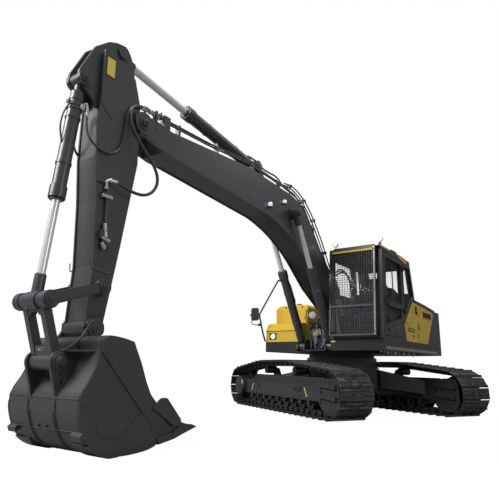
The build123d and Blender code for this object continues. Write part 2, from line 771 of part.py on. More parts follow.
with BuildPart() as toolbox_lid:
    add(slab([(712, 1512), (598, 1658), (box_rear, 1690), (box_rear, 1664), (584, 1638), (696, 1508)],
             box_right, box_left))
    for y in lid_hinge_places:
        start = y + knuckle_height + seat_gap
        add(drum(lid_hinge, knuckle_r, start, start + knuckle_height))
        add(slab([(lid_hinge[0], 1668), (box_rear + 2, 1668), (box_rear + 2, 1683), (lid_hinge[0], 1683)],
                 start, start + knuckle_height))
        add(drum(lid_hinge, knuckle_pin_r + pin_clearance, start - 1, start + knuckle_height + 1),
            mode=Mode.SUBTRACT)
keep(toolbox_lid, "toolbox_lid")

with BuildPart() as head_lamp:
    with BuildSketch(Plane.YZ.offset(690 + seat_gap)):
        with Locations((-1170, 1395)):
            Circle(52)
    extrude(amount=22, taper=8)
keep(head_lamp, "head_lamp")

with BuildPart() as fuel_tank:
    add(slab([(tank_front, deck_top), (tank_front, 1975), (215, tank_top), (tank_rear, tank_top),
              (tank_rear, deck_top)], box_right, box_left))
    chamfer(fuel_tank.edges().filter_by(Axis.X).group_by(Axis.Z)[-1], 60)
    with BuildSketch(Plane.XY.offset(tank_top)):
        with Locations((-100, -1000)):
            Circle(70)
    extrude(amount=45, taper=10)
    for z in panel_hinge_heights:
        add(knuckle(tank_rear - 8, -hinge_y, z, z + knuckle_height, tank_rear + 40, box_right))
        with BuildSketch(Plane.XY.offset(z)):
            with Locations((tank_rear - 8, -hinge_y)):
                Circle(knuckle_pin_r)
        extrude(amount=2 * knuckle_height)
keep(fuel_tank, "fuel_tank")

# ------------------------------------------------------------------ engine house
panel = 30
seam_x = -700
door_front_edge = [(-430, 2078), (150, 1585), (62, deck_top + 6)]
rear_slope = [(-1345, deck_top + 6), (-1925, 1966)]
bulkhead_x = -680
post_face = deck_half - panel - 5
hood_front = -665
hood_hinge = (-645, 2128)
hood_hinge_places = (-500, 880)
with BuildPart() as house_frame:
    add(block(bulkhead_x - 40, bulkhead_x, web_outer + 10, post_face, deck_top, 2030))
    add(block(bulkhead_x - 40, bulkhead_x, box_left + 30, -web_outer - 10, deck_top, 2030))
    add(block(bulkhead_x - 40, bulkhead_x, -web_outer - 10, web_outer + 10, web_top + 10, 2030))
    add(block(tank_rear - 45, tank_rear - 5, -post_face, -post_face + 60, deck_top, 2030))
    add(block(tank_rear - 45, tank_rear - 5, -post_face, box_left + 30, 1970, 2030))
    add(block(tank_rear - 45, bulkhead_x, box_left + 5, box_left + 30, 1970, 2030))
    for y in hood_hinge_places:
        add(slab([(bulkhead_x - 20, 1990), (bulkhead_x - 20, 2029), (hood_hinge[0] - 8, 2040),
                  (hood_hinge[0] - 8, hood_hinge[1]), (hood_hinge[0] + 8, hood_hinge[1]),
                  (hood_hinge[0] + 8, 1990)], y, y + knuckle_height))
        add(drum(hood_hinge, knuckle_r, y, y + knuckle_height))
        add(drum(hood_hinge, knuckle_pin_r, y, y + 2 * knuckle_height))
    for hand, start in ((-1, tank_rear - 5), (1, bulkhead_x)):
        add(slab([(start, 1980), (start, 2030), (-1895, 1945), (-1865, 1900)],
                 hand * post_face, hand * (post_face - 60)))
keep(house_frame, "house_frame")

louvre_pitch = 46
louvre_width = 16
with BuildPart() as left_side_door:
    add(slab([(seam_x + 4, deck_top + 6), (seam_x + 4, 2062)] + door_front_edge,
             deck_half - panel, deck_half))
    with BuildSketch(beside(deck_half - panel - 1)):
        with Locations((-600, 1930)):
            with GridLocations(louvre_pitch, 1, 4, 1):
                Rectangle(louvre_width, 130)
    extrude(amount=-panel - 2, mode=Mode.SUBTRACT)
    with BuildSketch(beside(deck_half)):
        with BuildLine():
            Polyline((-330, 1960), (-365, 1930), (-215, 1745), (10, 1600), (38, 1640), (-180, 1790),
                     close=True)
        make_face()
    extrude(amount=-16)
    for z in panel_hinge_heights:
        bottom = z + knuckle_height + seat_gap
        add(knuckle(seam_x, hinge_y, bottom, bottom + knuckle_height, seam_x + 50, deck_half,
                    knuckle_pin_r + pin_clearance))
keep(left_side_door, "left_side_door")

with BuildPart() as left_rear_panel:
    add(slab([(seam_x - 4, deck_top + 6), (seam_x - 4, 2062), (-1765, 2000), rear_slope[1], rear_slope[0]],
             deck_half - panel, deck_half))
    add(slab([(seam_x - 20, 1985), (seam_x - 20, 2020), (-1740, 1968), (-1740, 1930)],
             post_face + seat_gap, deck_half - panel))
    with BuildSketch(beside(deck_half - panel - 6)):
        with Locations((-1380, 1850)):
            with GridLocations(louvre_pitch, 1, 13, 1):
                Rectangle(louvre_width, 130)
    extrude(amount=-panel - 7, mode=Mode.SUBTRACT)
    for z in panel_hinge_heights:
        add(knuckle(seam_x, hinge_y, z, z + knuckle_height, seam_x - 50, deck_half))
        with BuildSketch(Plane.XY.offset(z)):
            with Locations((seam_x, hinge_y)):
                Circle(knuckle_pin_r)
        extrude(amount=2 * knuckle_height)
keep(left_rear_panel, "left_rear_panel")

with BuildPart() as right_side_door:
    add(slab([(tank_rear - 8, deck_top + 6), (tank_rear - 8, 2060), (-1765, 2000), rear_slope[1],
              rear_slope[0]],
             -deck_half + panel, -deck_half))
    for z in panel_hinge_heights:
        bottom = z + knuckle_height + seat_gap
        add(knuckle(tank_rear - 8, -hinge_y, bottom, bottom + knuckle_height, tank_rear - 60, -deck_half,
                    knuckle_pin_r + pin_clearance))
keep(right_side_door, "right_side_door")

with BuildPart() as engine_hood:
    add(slab([(hood_front, 2078), (hood_front, 2135), (-1300, 2108), (-2055, 2062), (-2055, 2040),
              (-1945, 1986), (-1765, 2010)], -deck_half + 5, deck_half - 5))
    add(slab([(-600, 2000), (-700, 2105), (-1300, 2078), (-1920, 2034), (-1920, 1900)],
             -deck_half + 35, deck_half - 35), mode=Mode.SUBTRACT)
    for y in hood_hinge_places:
        start = y + knuckle_height + seat_gap
        add(drum(hood_hinge, knuckle_r, start, start + knuckle_height))
        add(slab([(hood_front - 4, 2116), (hood_hinge[0], 2118), (hood_hinge[0], 2134),
                  (hood_front - 4, 2134)],
                 start, start + knuckle_height))
        add(drum(hood_hinge, knuckle_pin_r + pin_clearance, start - 1, start + knuckle_height + 1),
            mode=Mode.SUBTRACT)
keep(engine_hood, "engine_hood")

with BuildPart() as engine:
    add(block(-1760, -1040, -560, 560, web_top + seat_gap, 1960))
keep(engine, "engine")

with BuildPart() as valve_block:
    add(block(-540, -140, -170, 170, deck_bottom + 30, 1470))
keep(valve_block, "valve_block")

# ------------------------------------------------------------------ rail and mirror on the right
rail_r = 17
with BuildPart() as handrail:
    with BuildLine():
        FilletPolyline((745, -1335, 1300), (830, -1350, 1500), (905, -1380, 1835), (260, -1320, 2640),
                       (-200, -1300, 2640), (-330, -1240, 2250), (-330, -1240, tank_top + seat_gap),
                       radius=60)
    with BuildSketch(Plane(origin=(745, -1335, 1300), z_dir=(85, -15, 200))):
        Circle(rail_r)
    sweep()
keep(handrail, "handrail")

with BuildPart() as mirror:
    with BuildSketch(Plane.YZ.offset(870)):
        with Locations((-1500, 1850)):
            RectangleRounded(170, 260, 40)
    extrude(amount=35)
    add(drum((888, 1760), 9, -1440, -1390.8))
keep(mirror, "mirror")

# ------------------------------------------------------------------ boom
fork_root = 5360
fork_inner = arm_half + side_gap + 2
lug_half = 64
lug_wall = 36
edge_lip = 14               # the side plates stand this far proud of the top and bottom plates
side_plate = 20


def boom_profile(inset):
    """The boom's outline from the side, drawn in by this much."""
    with BuildSketch() as profile:
        with BuildLine():
            Polyline((330, 1730), (1252, 2221), (1773, 2612))
            ThreePointArc((1773, 2612), (2400, 2952), (3087, 3139))
            Polyline((3087, 3139), (5285, 3296), (5700, 3373), (5862, 3480), (5840, 3600), (5740, 3640),
                     (5475, 3637), (5252, 3608), (3565, 3749), (2491, 3697))
            ThreePointArc((2491, 3697), (2130, 3650), (1816, 3508))
            Polyline((1816, 3508), (1173, 2809), (165, 1985), (330, 1730))
        make_face()
        with Locations(boom_foot):
            Circle(155)
        if inset:
            offset(amount=-inset, kind=Kind.INTERSECTION)
    return profile.sketch


with BuildPart() as boom:
    with BuildSketch(beside(0)):
        add(boom_profile(0))
    extrude(amount=boom_half, both=True)
    with BuildSketch(beside(0)):
        add(boom_profile(0))
        add(boom_profile(edge_lip), mode=Mode.SUBTRACT)
        with Locations((5600, 3500)):
            Rectangle(1000, 800, mode=Mode.SUBTRACT)
        with Locations(boom_foot):
            Circle(300, mode=Mode.SUBTRACT)
    extrude(amount=boom_half - side_plate, both=True, mode=Mode.SUBTRACT)
    with BuildSketch(beside(0)):
        with Locations(((fork_root + 6200) / 2, 3500)):
            Rectangle(6200 - fork_root, 800)
    extrude(amount=fork_inner, both=True, mode=Mode.SUBTRACT)
    for hand in (-1, 1):
        add(drum(boom_tip, 135, hand * fork_inner, hand * 235))
        add(drum(boom_ram_eye, 105, hand * boom_half, hand * (cylinder_y - 62)))
        add(slab([(2960, 3680), (3130, 3995), (3200, 4016), (3260, 3995), (3380, 3690)],
                 hand * lug_half, hand * (lug_half + lug_wall)))
        add(drum(arm_ram_foot, 96, hand * lug_half, hand * (lug_half + lug_wall + 20)))
    with BuildSketch(beside(0)):
        with Locations(boom_foot):
            Circle(50)
        with Locations(boom_tip, arm_ram_foot):
            Circle(45)
    extrude(amount=boom_half + 100, both=True, mode=Mode.SUBTRACT)
keep(boom, "boom")

with BuildPart() as boom_pins:
    add(drum(boom_tip, 45 - pin_clearance, -250, 250))
    add(drum(arm_ram_foot, 45 - pin_clearance, -lug_half - lug_wall - 35, lug_half + lug_wall + 35))
    for hand in (-1, 1):
        add(pin_cap(boom_tip, hand * (235 + seat_gap), 82))
        add(pin_cap(arm_ram_foot, hand * (lug_half + lug_wall + 20 + seat_gap), 64))
keep(boom_pins, "boom_pins")

# two steel pipes along the boom's back on each side, and the bars that clamp them
pipe_r = 13
pipe_lines = ((152, 112), (184, 58))        # (out from the middle, above the back)
boom_back = [(5330, 3640), (4480, 3672), (3565, 3749), (2560, 3702), (2130, 3650), (1816, 3508),
             (1430, 3088), (1173, 2809), (760, 2470)]
clamp_places = [(5120, 3619), (4350, 3683), (3480, 3745), (2700, 3707), (1960, 3575), (1500, 3165)]
with BuildPart() as boom_pipes:
    for hand in (-1, 1):
        for out, above in pipe_lines:
            line = [(x, hand * out, z + above) for x, z in boom_back]
            with BuildLine():
                FilletPolyline(*line, radius=110)
            run = (line[1][0] - line[0][0], 0, line[1][2] - line[0][2])
            with BuildSketch(Plane(origin=line[0], z_dir=run)):
                Circle(pipe_r)
            sweep()
        for x, z in clamp_places:
            add(block(x - 18, x + 18, hand * 138, hand * 200, z - 25, z + 140))
        add(block(5290, 5400, hand * 132, hand * 202, 3600, 3776))
    with Locations((0, 0, seat_gap)):
        add(boom.part, mode=Mode.SUBTRACT)
keep(boom_pipes, "boom_pipes")

lamp_places = [(3024, 3312, 75), (2578, 3486, 50)]     # on the boom's sides, with their half heights
with BuildPart() as boom_lamps:
    for hand in (-1, 1):
        for x, z, half in lamp_places:
            add(slab([(x - 45, z - half * 0.7), (x - 30, z + half * 0.7), (x + 25, z + half),
                      (x + 35, z - half)],
                     hand * (boom_half + seat_gap), hand * (boom_half + 52)))
keep(boom_lamps, "boom_lamps")

# ------------------------------------------------------------------ cylinders
boom_barrel = 1530
arm_barrel = 1660
bucket_barrel = 1380
with BuildPart() as boom_barrels:
    for y in (-cylinder_y, cylinder_y):
        add(ram_barrel(boom_ram_foot, boom_ram_eye, y, 54, boom_barrel, 75, 42.55, 50, 88))
keep(boom_barrels, "boom_cylinder_barrels")

with BuildPart() as boom_rods:
    for y in (-cylinder_y, cylinder_y):
        add(ram_rod(boom_ram_foot, boom_ram_eye, y, 58, 1650, 42.5, 92, 0))
        add(drum(boom_ram_eye, 60, y + (58 if y > 0 else -58), y + (110 if y > 0 else -110)))
keep(boom_rods, "boom_cylinder_rods")

with BuildPart() as arm_ram_barrel:
    add(ram_barrel(arm_ram_foot, arm_ram_eye, 0, 60, arm_barrel, 86, 47.55, 45, 92))
keep(arm_ram_barrel, "arm_cylinder_barrel")

with BuildPart() as arm_ram_rod:
    add(ram_rod(arm_ram_foot, arm_ram_eye, 0, 60, 1910, 47.5, 92, 0))
keep(arm_ram_rod, "arm_cylinder_rod")

with BuildPart() as bucket_ram_barrel:
    add(ram_barrel(bucket_ram_foot, link_top, 0, 60, bucket_barrel, 72, 40.05, 40, 84))
keep(bucket_ram_barrel, "bucket_cylinder_barrel")

with BuildPart() as bucket_ram_rod:
    add(ram_rod(bucket_ram_foot, link_top, 0, 98, 1480, 40, 86, 0))
keep(bucket_ram_rod, "bucket_cylinder_rod")

# ------------------------------------------------------------------ arm
arm_outline = [(6300, 4161), (6203, 4152), (6043, 4124), (5927, 4073), (5854, 4022), (5755, 3720),
               (5735, 3010), (5895, 1980), (6042, 1130), (6243, 1150), (6212, 1765), (6245, 2435),
               (6290, 2920)]
with BuildPart() as arm:
    with BuildSketch(beside(0)):
        with BuildLine():
            Polyline(*arm_outline, close=True)
        make_face()
        offset(amount=-edge_lip, kind=Kind.INTERSECTION)
    extrude(amount=arm_half, both=True)
    for hand in (-1, 1):
        add(slab(arm_outline, hand * (arm_half - side_plate), hand * arm_half))
    with BuildSketch(beside(0)):
        with Locations(boom_tip):
            Circle(130)
        with Locations(bucket_pivot):
            Circle(105)
    extrude(amount=arm_half, both=True)
    for hand in (-1, 1):
        add(slab([(5800, 4000), (5845, 4240), (5905, 4350), (5985, 4412), (6100, 4390), (6209, 4339),
                  (6379, 4180), (6545, 3810), (6555, 3700), (6470, 3645), (6290, 3480)],
                 hand * lug_half, hand * (lug_half + lug_wall)))
        add(drum(bucket_ram_foot, 92, hand * lug_half, hand * (lug_half + lug_wall + 15)))
        add(drum(arm_ram_eye, 80, hand * lug_half, hand * (lug_half + lug_wall + 22)))
        add(drum(rocker_pivot, 85, hand * arm_half, hand * 207))
    with BuildSketch(beside(0)):
        with Locations(boom_tip, bucket_pivot):
            Circle(45)
        with Locations(bucket_ram_foot, rocker_pivot):
            Circle(40)
    extrude(amount=300, both=True, mode=Mode.SUBTRACT)
keep(arm, "arm")

arm_pipe_y = arm_half + 26
with BuildPart() as arm_pipes:
    for hand in (-1, 1):
        out = hand * arm_pipe_y
        line = [(6240, out, 2650), (6134, out, 2638), (6121, out, 2195), (6095, out, 1990)]
        with BuildLine():
            FilletPolyline(*line, radius=45)
        with BuildSketch(Plane(origin=line[0], z_dir=(-106, 0, -12))):
            Circle(pipe_r)
        sweep()
        for x, z, half in ((6130, 2512, 30), (6114, 2090, 42), (6098, 2000, 34)):
            add(block(x - 1.6 * half, x + 1.6 * half, hand * arm_half, hand * (arm_pipe_y + 22),
                      z - half, z + half))
keep(arm_pipes, "arm_pipes")

rocker_inner = 209
rocker_outer = 258
link_half = 165
ear_inner = arm_half + side_gap + 6
ear_outer = ear_inner + 34
with BuildPart() as arm_pins:
    add(drum(bucket_ram_foot, 40 - pin_clearance, -lug_half - lug_wall - 20, lug_half + lug_wall + 20))
    add(drum(rocker_pivot, 40 - pin_clearance, -265, 265))
    add(drum(bucket_pivot, 45 - pin_clearance, -215, 215))
    for hand in (-1, 1):
        add(pin_cap(bucket_ram_foot, hand * (lug_half + lug_wall + 15 + seat_gap), 60))
        add(pin_cap(rocker_pivot, hand * (rocker_outer + side_gap), 60))
        add(pin_cap(bucket_pivot, hand * (ear_outer + side_gap), 74))
keep(arm_pins, "arm_pins")

# ------------------------------------------------------------------ bucket linkage

def bar_between(start, end, half_width, boss_r, y_from, y_to, bores):
    """A flat link with a boss at each end; bores gives the pin holes' radii."""
    turn = atan2(end[1] - start[1], end[0] - start[0])
    across = (-sin(turn) * half_width, cos(turn) * half_width)
    with BuildPart() as bar:
        with BuildSketch(beside(y_from)):
            with BuildLine():
                Polyline((start[0] + across[0], start[1] + across[1]),
                         (end[0] + across[0], end[1] + across[1]),
                         (end[0] - across[0], end[1] - across[1]),
                         (start[0] - across[0], start[1] - across[1]), close=True)
            make_face()
            with Locations(start, end):
                Circle(boss_r)
            for place, bore in zip((start, end), bores):
                if bore:
                    with Locations(place):
                        Circle(bore, mode=Mode.SUBTRACT)
        extrude(amount=y_from - y_to)
    return bar.part


rib_foot = rocker_outer - 12        # a narrower rib stands on each rocker's outer face
with BuildPart() as rocker_links:
    for hand in (-1, 1):
        add(bar_between(rocker_pivot, link_top, 54, 84, hand * rocker_inner, hand * rib_foot, (40, 0)))
        add(bar_between(rocker_pivot, link_top, 30, 76, hand * rib_foot, hand * rocker_outer, (40, 0)))
        add(drum(link_top, 82, hand * (link_half + 3), hand * rocker_inner))
        add(pin_cap(link_top, hand * rocker_outer, 60))
keep(rocker_links, "rocker_links")

with BuildPart() as bucket_link:
    for hand in (-1, 1):
        add(bar_between(link_foot, link_top, 42, 75, hand * 102, hand * link_half, (40, 0)))
    with BuildSketch(beside(0)):
        with Locations(link_foot):
            Circle(80)
            Circle(40, mode=Mode.SUBTRACT)
    extrude(amount=link_half, both=True)
keep(bucket_link, "bucket_link")

# ------------------------------------------------------------------ bucket
bucket_outline = [(6310, 1008), (6140, 1018), (5990, 990), (5951, 960), (5873, 821),
                  (5793, 644), (5731, 531), (5644, 443), (5310, 275), (5304, 250), (5072, 177), (5236, 137),
                  (5380, 94), (5560, 72), (5726, 15), (5897, 2), (6048, 0), (6184, 17), (6305, 63),
                  (6404, 138), (6476, 247), (6521, 393), (6532, 520), (6515, 568), (6437, 681), (6378, 800),
                  (6345, 917)]
mouth_outline = [(5985, 965), (5900, 1010), (5500, 700), (5000, 300), (5090, 195), (5400, 125), (5600, 105)]
ear_outline = [(6050, 1085), (6100, 1240), (6190, 1240), (6460, 915), (6560, 890), (6592, 800),
               (6600, 640), (6590, 450), (6560, 300), (6500, 270), (6510, 520), (6420, 690), (6360, 800),
               (6330, 917), (6285, 1020), (6130, 1005)]
lip_plate = [(6345, 917), (6310, 1008), (6140, 1018), (5990, 990), (5951, 960), (5873, 821), (5793, 644),
             (5731, 531), (5644, 443), (5430, 335), (5617, 154), (5826, 373)]
side_cutter = [(5705, 401), (5584, 490), (5512, 481), (5302, 265), (5317, 217), (5400, 206)]
cutting_edge = [(5048, 176), (5236, 130), (5390, 88), (5600, 60), (5620, 112), (5400, 146), (5290, 200),
                (5120, 206)]
wear_plate = [(6532, 520), (6521, 393), (6476, 247), (6404, 138), (6305, 63), (6184, 17), (6048, 0),
              (5897, 2),
              (5726, 15), (5560, 72), (5610, 150), (5790, 345), (5981, 196), (6152, 165), (6302, 222),
              (6353, 262), (6373, 445), (6509, 458)]
heel_pad = [(6476, 247), (6404, 138), (6305, 63), (6200, 30), (6230, 8), (6330, 38), (6436, 118),
            (6508, 240)]
side_plates = [              # (outline, from, to) of the plates on each side wall
    (lip_plate, bucket_half, bucket_half + 14),
    (wear_plate, bucket_half, bucket_half + 10),
    (side_cutter, bucket_half, bucket_half + 34),
    (cutting_edge, 0, bucket_half + 22),
]
with BuildPart() as bucket:
    add(slab(bucket_outline, -bucket_half, bucket_half))
    with BuildSketch(beside(0)):
        with BuildLine():
            Polyline(*bucket_outline, close=True)
        make_face()
        offset(amount=-20, kind=Kind.INTERSECTION)
        with BuildLine():
            Polyline(*mouth_outline, close=True)
        make_face()
    extrude(amount=bucket_half - 25, both=True, mode=Mode.SUBTRACT)
    for hand in (-1, 1):
        add(slab(ear_outline, hand * ear_inner, hand * ear_outer))
        add(drum(link_foot, 100, hand * ear_inner, hand * ear_outer))
        add(drum(bucket_pivot, 110, hand * ear_inner, hand * ear_outer))
    with BuildSketch(beside(0)):
        with Locations(bucket_pivot):
            Circle(45)
        with Locations(link_foot):
            Circle(40)
    extrude(amount=300, both=True, mode=Mode.SUBTRACT)
    for outline, y_from, y_to in side_plates:
        for hand in (-1, 1):
            add(slab(outline, hand * y_from, hand * y_to))
    for hand in (-1, 1):
        add(slab(heel_pad, hand * 380, hand * (bucket_half + 12)))
        add(block(6350, 6455, hand * (ear_outer - 5), hand * 480, 912, 930))
keep(bucket, "bucket")

with BuildPart() as bucket_pins:
    add(drum(link_foot, 40 - pin_clearance, -250, 250))
keep(bucket_pins, "bucket_link_pin")
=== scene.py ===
"""Crawler excavator: finishes, track shoes, hoses, cab trim and fittings for the frame's bodies.

Metres, in the frame's own axes: +X forward along the boom, +Y to the operator's left, +Z up.
Tables that are headed mm are in millimetres.
"""

import json
import math

import bmesh
import bpy
from mathutils import Matrix, Vector


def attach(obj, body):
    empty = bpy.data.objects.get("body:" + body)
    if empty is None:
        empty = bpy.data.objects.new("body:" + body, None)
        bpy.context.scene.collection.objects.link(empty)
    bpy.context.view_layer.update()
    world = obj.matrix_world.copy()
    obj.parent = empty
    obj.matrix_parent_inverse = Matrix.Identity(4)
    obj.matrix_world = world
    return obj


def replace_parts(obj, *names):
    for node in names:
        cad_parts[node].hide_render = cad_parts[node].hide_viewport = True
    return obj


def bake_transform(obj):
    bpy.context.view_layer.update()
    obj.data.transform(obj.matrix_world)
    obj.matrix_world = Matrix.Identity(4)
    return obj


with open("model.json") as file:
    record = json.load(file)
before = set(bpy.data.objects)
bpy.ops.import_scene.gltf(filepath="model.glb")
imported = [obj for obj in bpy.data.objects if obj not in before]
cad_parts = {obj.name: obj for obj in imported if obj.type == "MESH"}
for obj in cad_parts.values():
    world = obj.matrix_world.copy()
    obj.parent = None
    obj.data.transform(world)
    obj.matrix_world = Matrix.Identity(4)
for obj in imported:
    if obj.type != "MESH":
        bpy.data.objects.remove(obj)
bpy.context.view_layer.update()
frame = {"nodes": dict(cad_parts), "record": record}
nodes = frame["nodes"]
MM = 0.001


# ------------------------------------------------------------------ shader tools
class Signal:
    """A socket in a shader; arithmetic on it adds Math nodes."""

    def __init__(self, shader, socket):
        self.shader = shader
        self.socket = socket

    def maths(self, operation, other):
        return self.shader.node("ShaderNodeMath", {"operation": operation}, {0: self, 1: other})

    def __add__(self, other):
        return self.maths("ADD", other)

    def __sub__(self, other):
        return self.maths("SUBTRACT", other)

    def __rsub__(self, other):
        return self.shader.node("ShaderNodeMath", {"operation": "SUBTRACT"}, {0: other, 1: self})

    def __mul__(self, other):
        return self.maths("MULTIPLY", other)

    __radd__ = __add__
    __rmul__ = __mul__


class Shader:
    """A material and its node tree."""

    def __init__(self, name):
        self.material = bpy.data.materials.new(name)
        self.material.use_nodes = True
        self.tree = self.material.node_tree
        self.surface = self.tree.nodes["Principled BSDF"]
        self.place = self.node("ShaderNodeTexCoord", out="Object")

    def node(self, kind, settings=None, inputs=None, out=0):
        made = self.tree.nodes.new(kind)
        for name, value in (settings or {}).items():
            setattr(made, name, value)
        for name, value in (inputs or {}).items():
            self.feed(made.inputs[name], value)
        return Signal(self, made.outputs[out])

    def feed(self, socket, value):
        if isinstance(value, Signal):
            self.tree.links.new(value.socket, socket)
        elif hasattr(socket.default_value, "__len__") and len(value) == 3 and len(socket.default_value) == 4:
            socket.default_value = (*value, 1)
        else:
            socket.default_value = value

    def set(self, **values):
        for name, value in values.items():
            self.feed(self.surface.inputs[name.replace("_", " ")], value)
        return self

    def noise(self, scale, detail=3.0, roughness=0.5, stretch=(1, 1, 1)):
        place = self.node("ShaderNodeMapping", None, {"Vector": self.place, "Scale": stretch})
        return self.node("ShaderNodeTexNoise", None, {
            "Vector": place, "Scale": scale, "Detail": detail, "Roughness": roughness})

    def ramp(self, signal, low, high):
        """0 below low, 1 above high, straight between."""
        return self.node("ShaderNodeMapRange", {"clamp": True}, {
            "Value": signal, "From Min": low, "From Max": high})

    def mix(self, amount, first, second):
        """The first colour at 0, the second at 1; 0, 6 and 7 are the colour mix's sockets."""
        return self.node("ShaderNodeMix", {"data_type": "RGBA"}, {0: amount, 6: first, 7: second}, out=2)

    def bump(self, height, strength, distance):
        return self.node("ShaderNodeBump", None, {
            "Height": height, "Strength": strength, "Distance": distance})

    def upward(self):
        """1 on faces that look up, 0 on level sides and below."""
        facing = self.node("ShaderNodeNewGeometry", out="Normal")
        return self.node("ShaderNodeSeparateXYZ", None, {0: facing}, out=2)


def shade(colour, factor):
    return tuple(min(1, part * factor) for part in colour)


# ------------------------------------------------------------------ finishes
DUST = (0.20, 0.185, 0.16)


def paint(name, colour, roughness=0.34, coat=0.25, dust=0.12, peel=0.0006):
    """Sprayed enamel: slow colour drift, orange peel, a little dust where it can settle."""
    shader = Shader(name)
    drift = shader.ramp(shader.noise(1.1, 3), 0.35, 0.7)
    body = shader.mix(drift, shade(colour, 0.93), shade(colour, 1.06))
    settle = shader.ramp(shader.upward(), 0.55, 1.0)
    patch = shader.ramp(shader.noise(7, 5, 0.62), 0.38, 0.75)
    veil = settle * patch * dust
    grain = shader.noise(190, 2)
    smear = shader.noise(4.5, 5, 0.6, (1, 1, 0.4))
    return shader.set(
        Base_Color=shader.mix(veil, body, DUST),
        Roughness=shader.ramp(smear, -0.4, 1.8) * 0.22 + (roughness - 0.11) + veil,
        Coat_Weight=coat,
        Coat_Roughness=0.18,
        Normal=shader.bump(grain, 0.35, peel),
    ).material


def worn_steel(name, dark, bright, roughness=0.48):
    """Bare and rubbed steel: mottled scale, fine scratches, brighter where it rubs."""
    shader = Shader(name)
    scale = shader.ramp(shader.noise(26, 6, 0.65), 0.36, 0.68)
    scratch = shader.ramp(shader.noise(60, 4, 0.7, (1, 1, 9)), 0.5, 0.75)
    rub = shader.ramp(shader.noise(5, 4), 0.42, 0.66)
    body = shader.mix(scale * 0.8, dark, bright)
    return shader.set(
        Base_Color=shader.mix(scratch * rub * 0.35, body, shade(bright, 1.7)),
        Metallic=0.65,
        Roughness=scale * 0.16 + roughness,
        Normal=shader.bump(scale + scratch * 0.4, 0.3, 0.0012),
    ).material


def rubber(name, colour=(0.012, 0.012, 0.013), roughness=0.55):
    shader = Shader(name)
    grain = shader.noise(160, 3)
    scuff = shader.ramp(shader.noise(9, 5), 0.45, 0.8)
    return shader.set(
        Base_Color=shader.mix(scuff * 0.4, colour, shade(colour, 3.2)),
        Roughness=scuff * 0.12 + roughness,
        Normal=shader.bump(grain, 0.3, 0.0005),
    ).material


def chrome(name):
    shader = Shader(name)
    streak = shader.noise(30, 3, 0.6, (0.3, 4, 4))
    return shader.set(
        Base_Color=(0.90, 0.90, 0.87), Metallic=0.35,
        Roughness=shader.ramp(streak, 0.3, 0.8) * 0.07 + 0.09,
        Normal=shader.bump(streak, 0.05, 0.0003),
    ).material


def zinc(name):
    shader = Shader(name)
    fleck = shader.ramp(shader.noise(120, 3), 0.35, 0.7)
    return shader.set(
        Base_Color=shader.mix(fleck, (0.50, 0.49, 0.44), (0.68, 0.67, 0.62)), Metallic=0.9,
        Roughness=fleck * 0.15 + 0.24, Normal=shader.bump(fleck, 0.15, 0.0004),
    ).material


def glazing(name, tint, alpha):
    shader = Shader(name)
    film = shader.ramp(shader.noise(5, 4), 0.4, 0.8)
    shader.material.surface_render_method = "BLENDED"
    return shader.set(
        Base_Color=tint, Roughness=film * 0.05 + 0.03, Alpha=film * 0.04 + alpha,
        Coat_Weight=0.6,
    ).material


def plastic(name, colour, roughness=0.5, grain_scale=220, depth=0.0006):
    shader = Shader(name)
    grain = shader.node("ShaderNodeTexVoronoi", None, {"Vector": shader.place, "Scale": grain_scale})
    drift = shader.ramp(shader.noise(3, 3), 0.3, 0.7)
    return shader.set(
        Base_Color=shader.mix(drift, shade(colour, 0.88), shade(colour, 1.1)),
        Roughness=drift * 0.08 + roughness, Normal=shader.bump(grain, 0.4, depth),
    ).material


def cloth(name, colour):
    shader = Shader(name)
    warp = shader.node("ShaderNodeTexWave", {"bands_direction": "Z"}, {
        "Vector": shader.place, "Scale": 130.0, "Distortion": 0.6})
    weft = shader.node("ShaderNodeTexWave", {"bands_direction": "Y"}, {
        "Vector": shader.place, "Scale": 130.0, "Distortion": 0.6})
    weave = warp * 0.5 + weft * 0.5
    return shader.set(
        Base_Color=shader.mix(weave, shade(colour, 0.7), shade(colour, 1.35)), Roughness=0.85,
        Sheen_Weight=0.3, Normal=shader.bump(weave, 0.5, 0.001),
    ).material


def lamp_glass(name):
    shader = Shader(name)
    rib = shader.node("ShaderNodeTexWave", {"bands_direction": "Y"}, {
        "Vector": shader.place, "Scale": 22.0, "Distortion": 0.2})
    return shader.set(
        Base_Color=shader.mix(rib, (0.80, 0.82, 0.80), (0.95, 0.96, 0.94)), Roughness=0.12, Coat_Weight=1.0,
        Emission_Color=shader.mix(rib, (0.92, 0.95, 0.86), (1, 1, 1)), Emission_Strength=0.55,
        Normal=shader.bump(rib, 0.3, 0.002),
    ).material


CHARCOAL = (0.052, 0.053, 0.060)
BLACK = (0.012, 0.012, 0.014)
YELLOW = (0.66, 0.43, 0.022)

